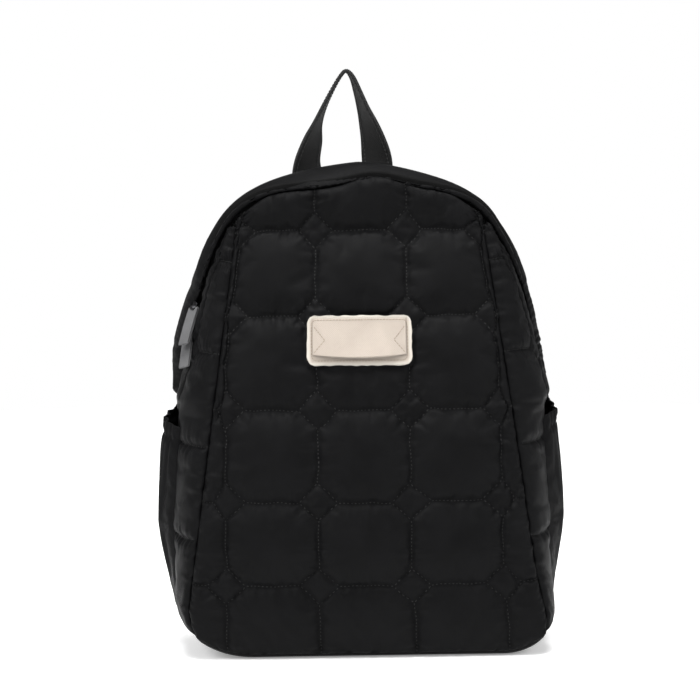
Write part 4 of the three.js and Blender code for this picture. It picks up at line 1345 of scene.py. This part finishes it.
def strap_place(i, j):
    share = j / STRAP["along"]
    at, width, thick = strap_at(share)
    tangent = (strap_at(min(share + AHEAD, 1))[0] - strap_at(max(share - AHEAD, 0))[0]).normalized()
    across = (Vector((1, 0, 0)) - tangent * tangent.x).normalized()
    angle = math.tau * i / STRAP["around"]
    beside = soft_power(math.cos(angle), STRAP["flat"]) * width
    lift = soft_power(math.sin(angle), STRAP["round"]) * thick
    return at + across * beside + tangent.cross(across) * lift


for row in SIDES:
    def strap_corner(i, j, sign=row["sign"]):
        p = strap_place(i, j)
        return Vector((sign * p.x, p.y, p.z))

    strap = cloth_sheet(
        "shoulder_strap_padded_" + row["name"], STRAP["around"], STRAP["along"], strap_corner, nylon,
    )
    bm = bmesh.new()
    bm.from_mesh(strap.data)
    bmesh.ops.remove_doubles(bm, verts=bm.verts, dist=STRAP["weld"] * MM)
    bmesh.ops.holes_fill(bm, edges=[edge for edge in bm.edges if edge.is_boundary], sides=0)
    bmesh.ops.recalc_face_normals(bm, faces=bm.faces)
    bm.to_mesh(strap.data)
    bm.free()
    strap.data.shade_smooth()
    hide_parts("shoulder_strap_" + row["name"])
    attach(strap, "root")

# Strap adjusters: black moulded plastic frames with a bar across, held at the end of each strap, through
# which the webbing is threaded. Their edges are rounded by the mould.
ADJUSTER = {"length": 24, "bevel": 0.8}
moulded = finish("black_moulding", (0.008, 0.008, 0.008), (0.014, 0.014, 0.014), (0.35, 0.5), patches=250)
for row in SIDES:
    node = "strap_adjuster_" + row["name"]
    adjuster = rounded_copy("strap_adjuster_moulded_" + row["name"], node, ADJUSTER["bevel"], moulded)
    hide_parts("strap_adjuster_" + row["name"])
    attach(adjuster, "root")

# Strap webbing: black woven tape, one tail to each side, running from the adjuster down to the lower
# corner of the back, where its last stretch lies flat and is sewn into the seam.
WEBBING = {"width": 25, "thick": 1.5, "sewn": 14, "end_x": 105, "end_z": 26}
WEBBING_CELLS = {"across": 10, "along": 40, "sewn_share": 0.2}
WEBBING_AHEAD = 0.01
STRAP_END_STEP = 1 / 16
strap_end = strap_at(1)[0]
down = (strap_end - strap_at(1 - STRAP_END_STEP)[0]).normalized()
tail_start = strap_end + down * (ADJUSTER["length"] + 2 * SEAT)
tail_foot = Vector((WEBBING["end_x"], BODY["back_y"] + SEAT + WEBBING["thick"] / 2, WEBBING["end_z"]))
slant = Vector((tail_start.x - tail_foot.x, 0, tail_start.z - tail_foot.z)).normalized()
flat_from = tail_foot + slant * WEBBING["sewn"]
tail_bend = tail_start + down * (tail_start - flat_from).length / 2
adjuster_right = Vector((-down.z, 0, down.x)).normalized()
flat_across = Vector((slant.z, 0, -slant.x))


def tail_at(t):
    """The middle of the tape: hanging from the adjuster up to 1, then flat where it is sewn, up to 2."""
    if t > 1:
        return flat_from.lerp(tail_foot, t - 1)
    return tail_start * (1 - t) ** 2 + tail_bend * 2 * t * (1 - t) + flat_from * t * t


for row in SIDES:
    def tail_place(i, j, sign=row["sign"]):
        sewn = WEBBING_CELLS["sewn_share"]
        t = (1 + sewn) * j / WEBBING_CELLS["along"]
        t = t if t <= 1 else 1 + (t - 1) / sewn
        ahead, behind = tail_at(min(t + WEBBING_AHEAD, 2)), tail_at(max(t - WEBBING_AHEAD, 0))
        tangent = (ahead - behind).normalized()
        across = adjuster_right.lerp(flat_across, min(1, t))
        across = (across - tangent * across.dot(tangent)).normalized()
        p = tail_at(t) + across * (i / WEBBING_CELLS["across"] - 0.5) * WEBBING["width"]
        return Vector((sign * p.x, p.y, p.z))

    tail = cloth_sheet(
        "strap_webbing_tape_" + row["name"], WEBBING_CELLS["across"], WEBBING_CELLS["along"], tail_place,
        webbing_cloth, cell=2.5,
    )
    thicken(tail, WEBBING["thick"], offset=0)
    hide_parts("strap_webbing_" + row["name"])
    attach(tail, "root")

# Slump: the finished bag stands soft and empty, and its cloth has settled a little to the right at the
# foot. Every piece made above moves with it, by less the higher it is.
SLUMP = {"shift": 5.5, "below": 80, "over": 90}
for thing in bpy.context.scene.objects:
    made_here = thing.name != "floor" and thing.name not in frame["nodes"]
    if thing.type == "MESH" and made_here and not thing.hide_render:
        for v in thing.data.vertices:
            low = 1 - smooth(v.co.z / MM, 0, SLUMP["below"])
            v.co.x += SLUMP["shift"] * MM * low * smooth(v.co.x / MM, -SLUMP["over"], SLUMP["over"])
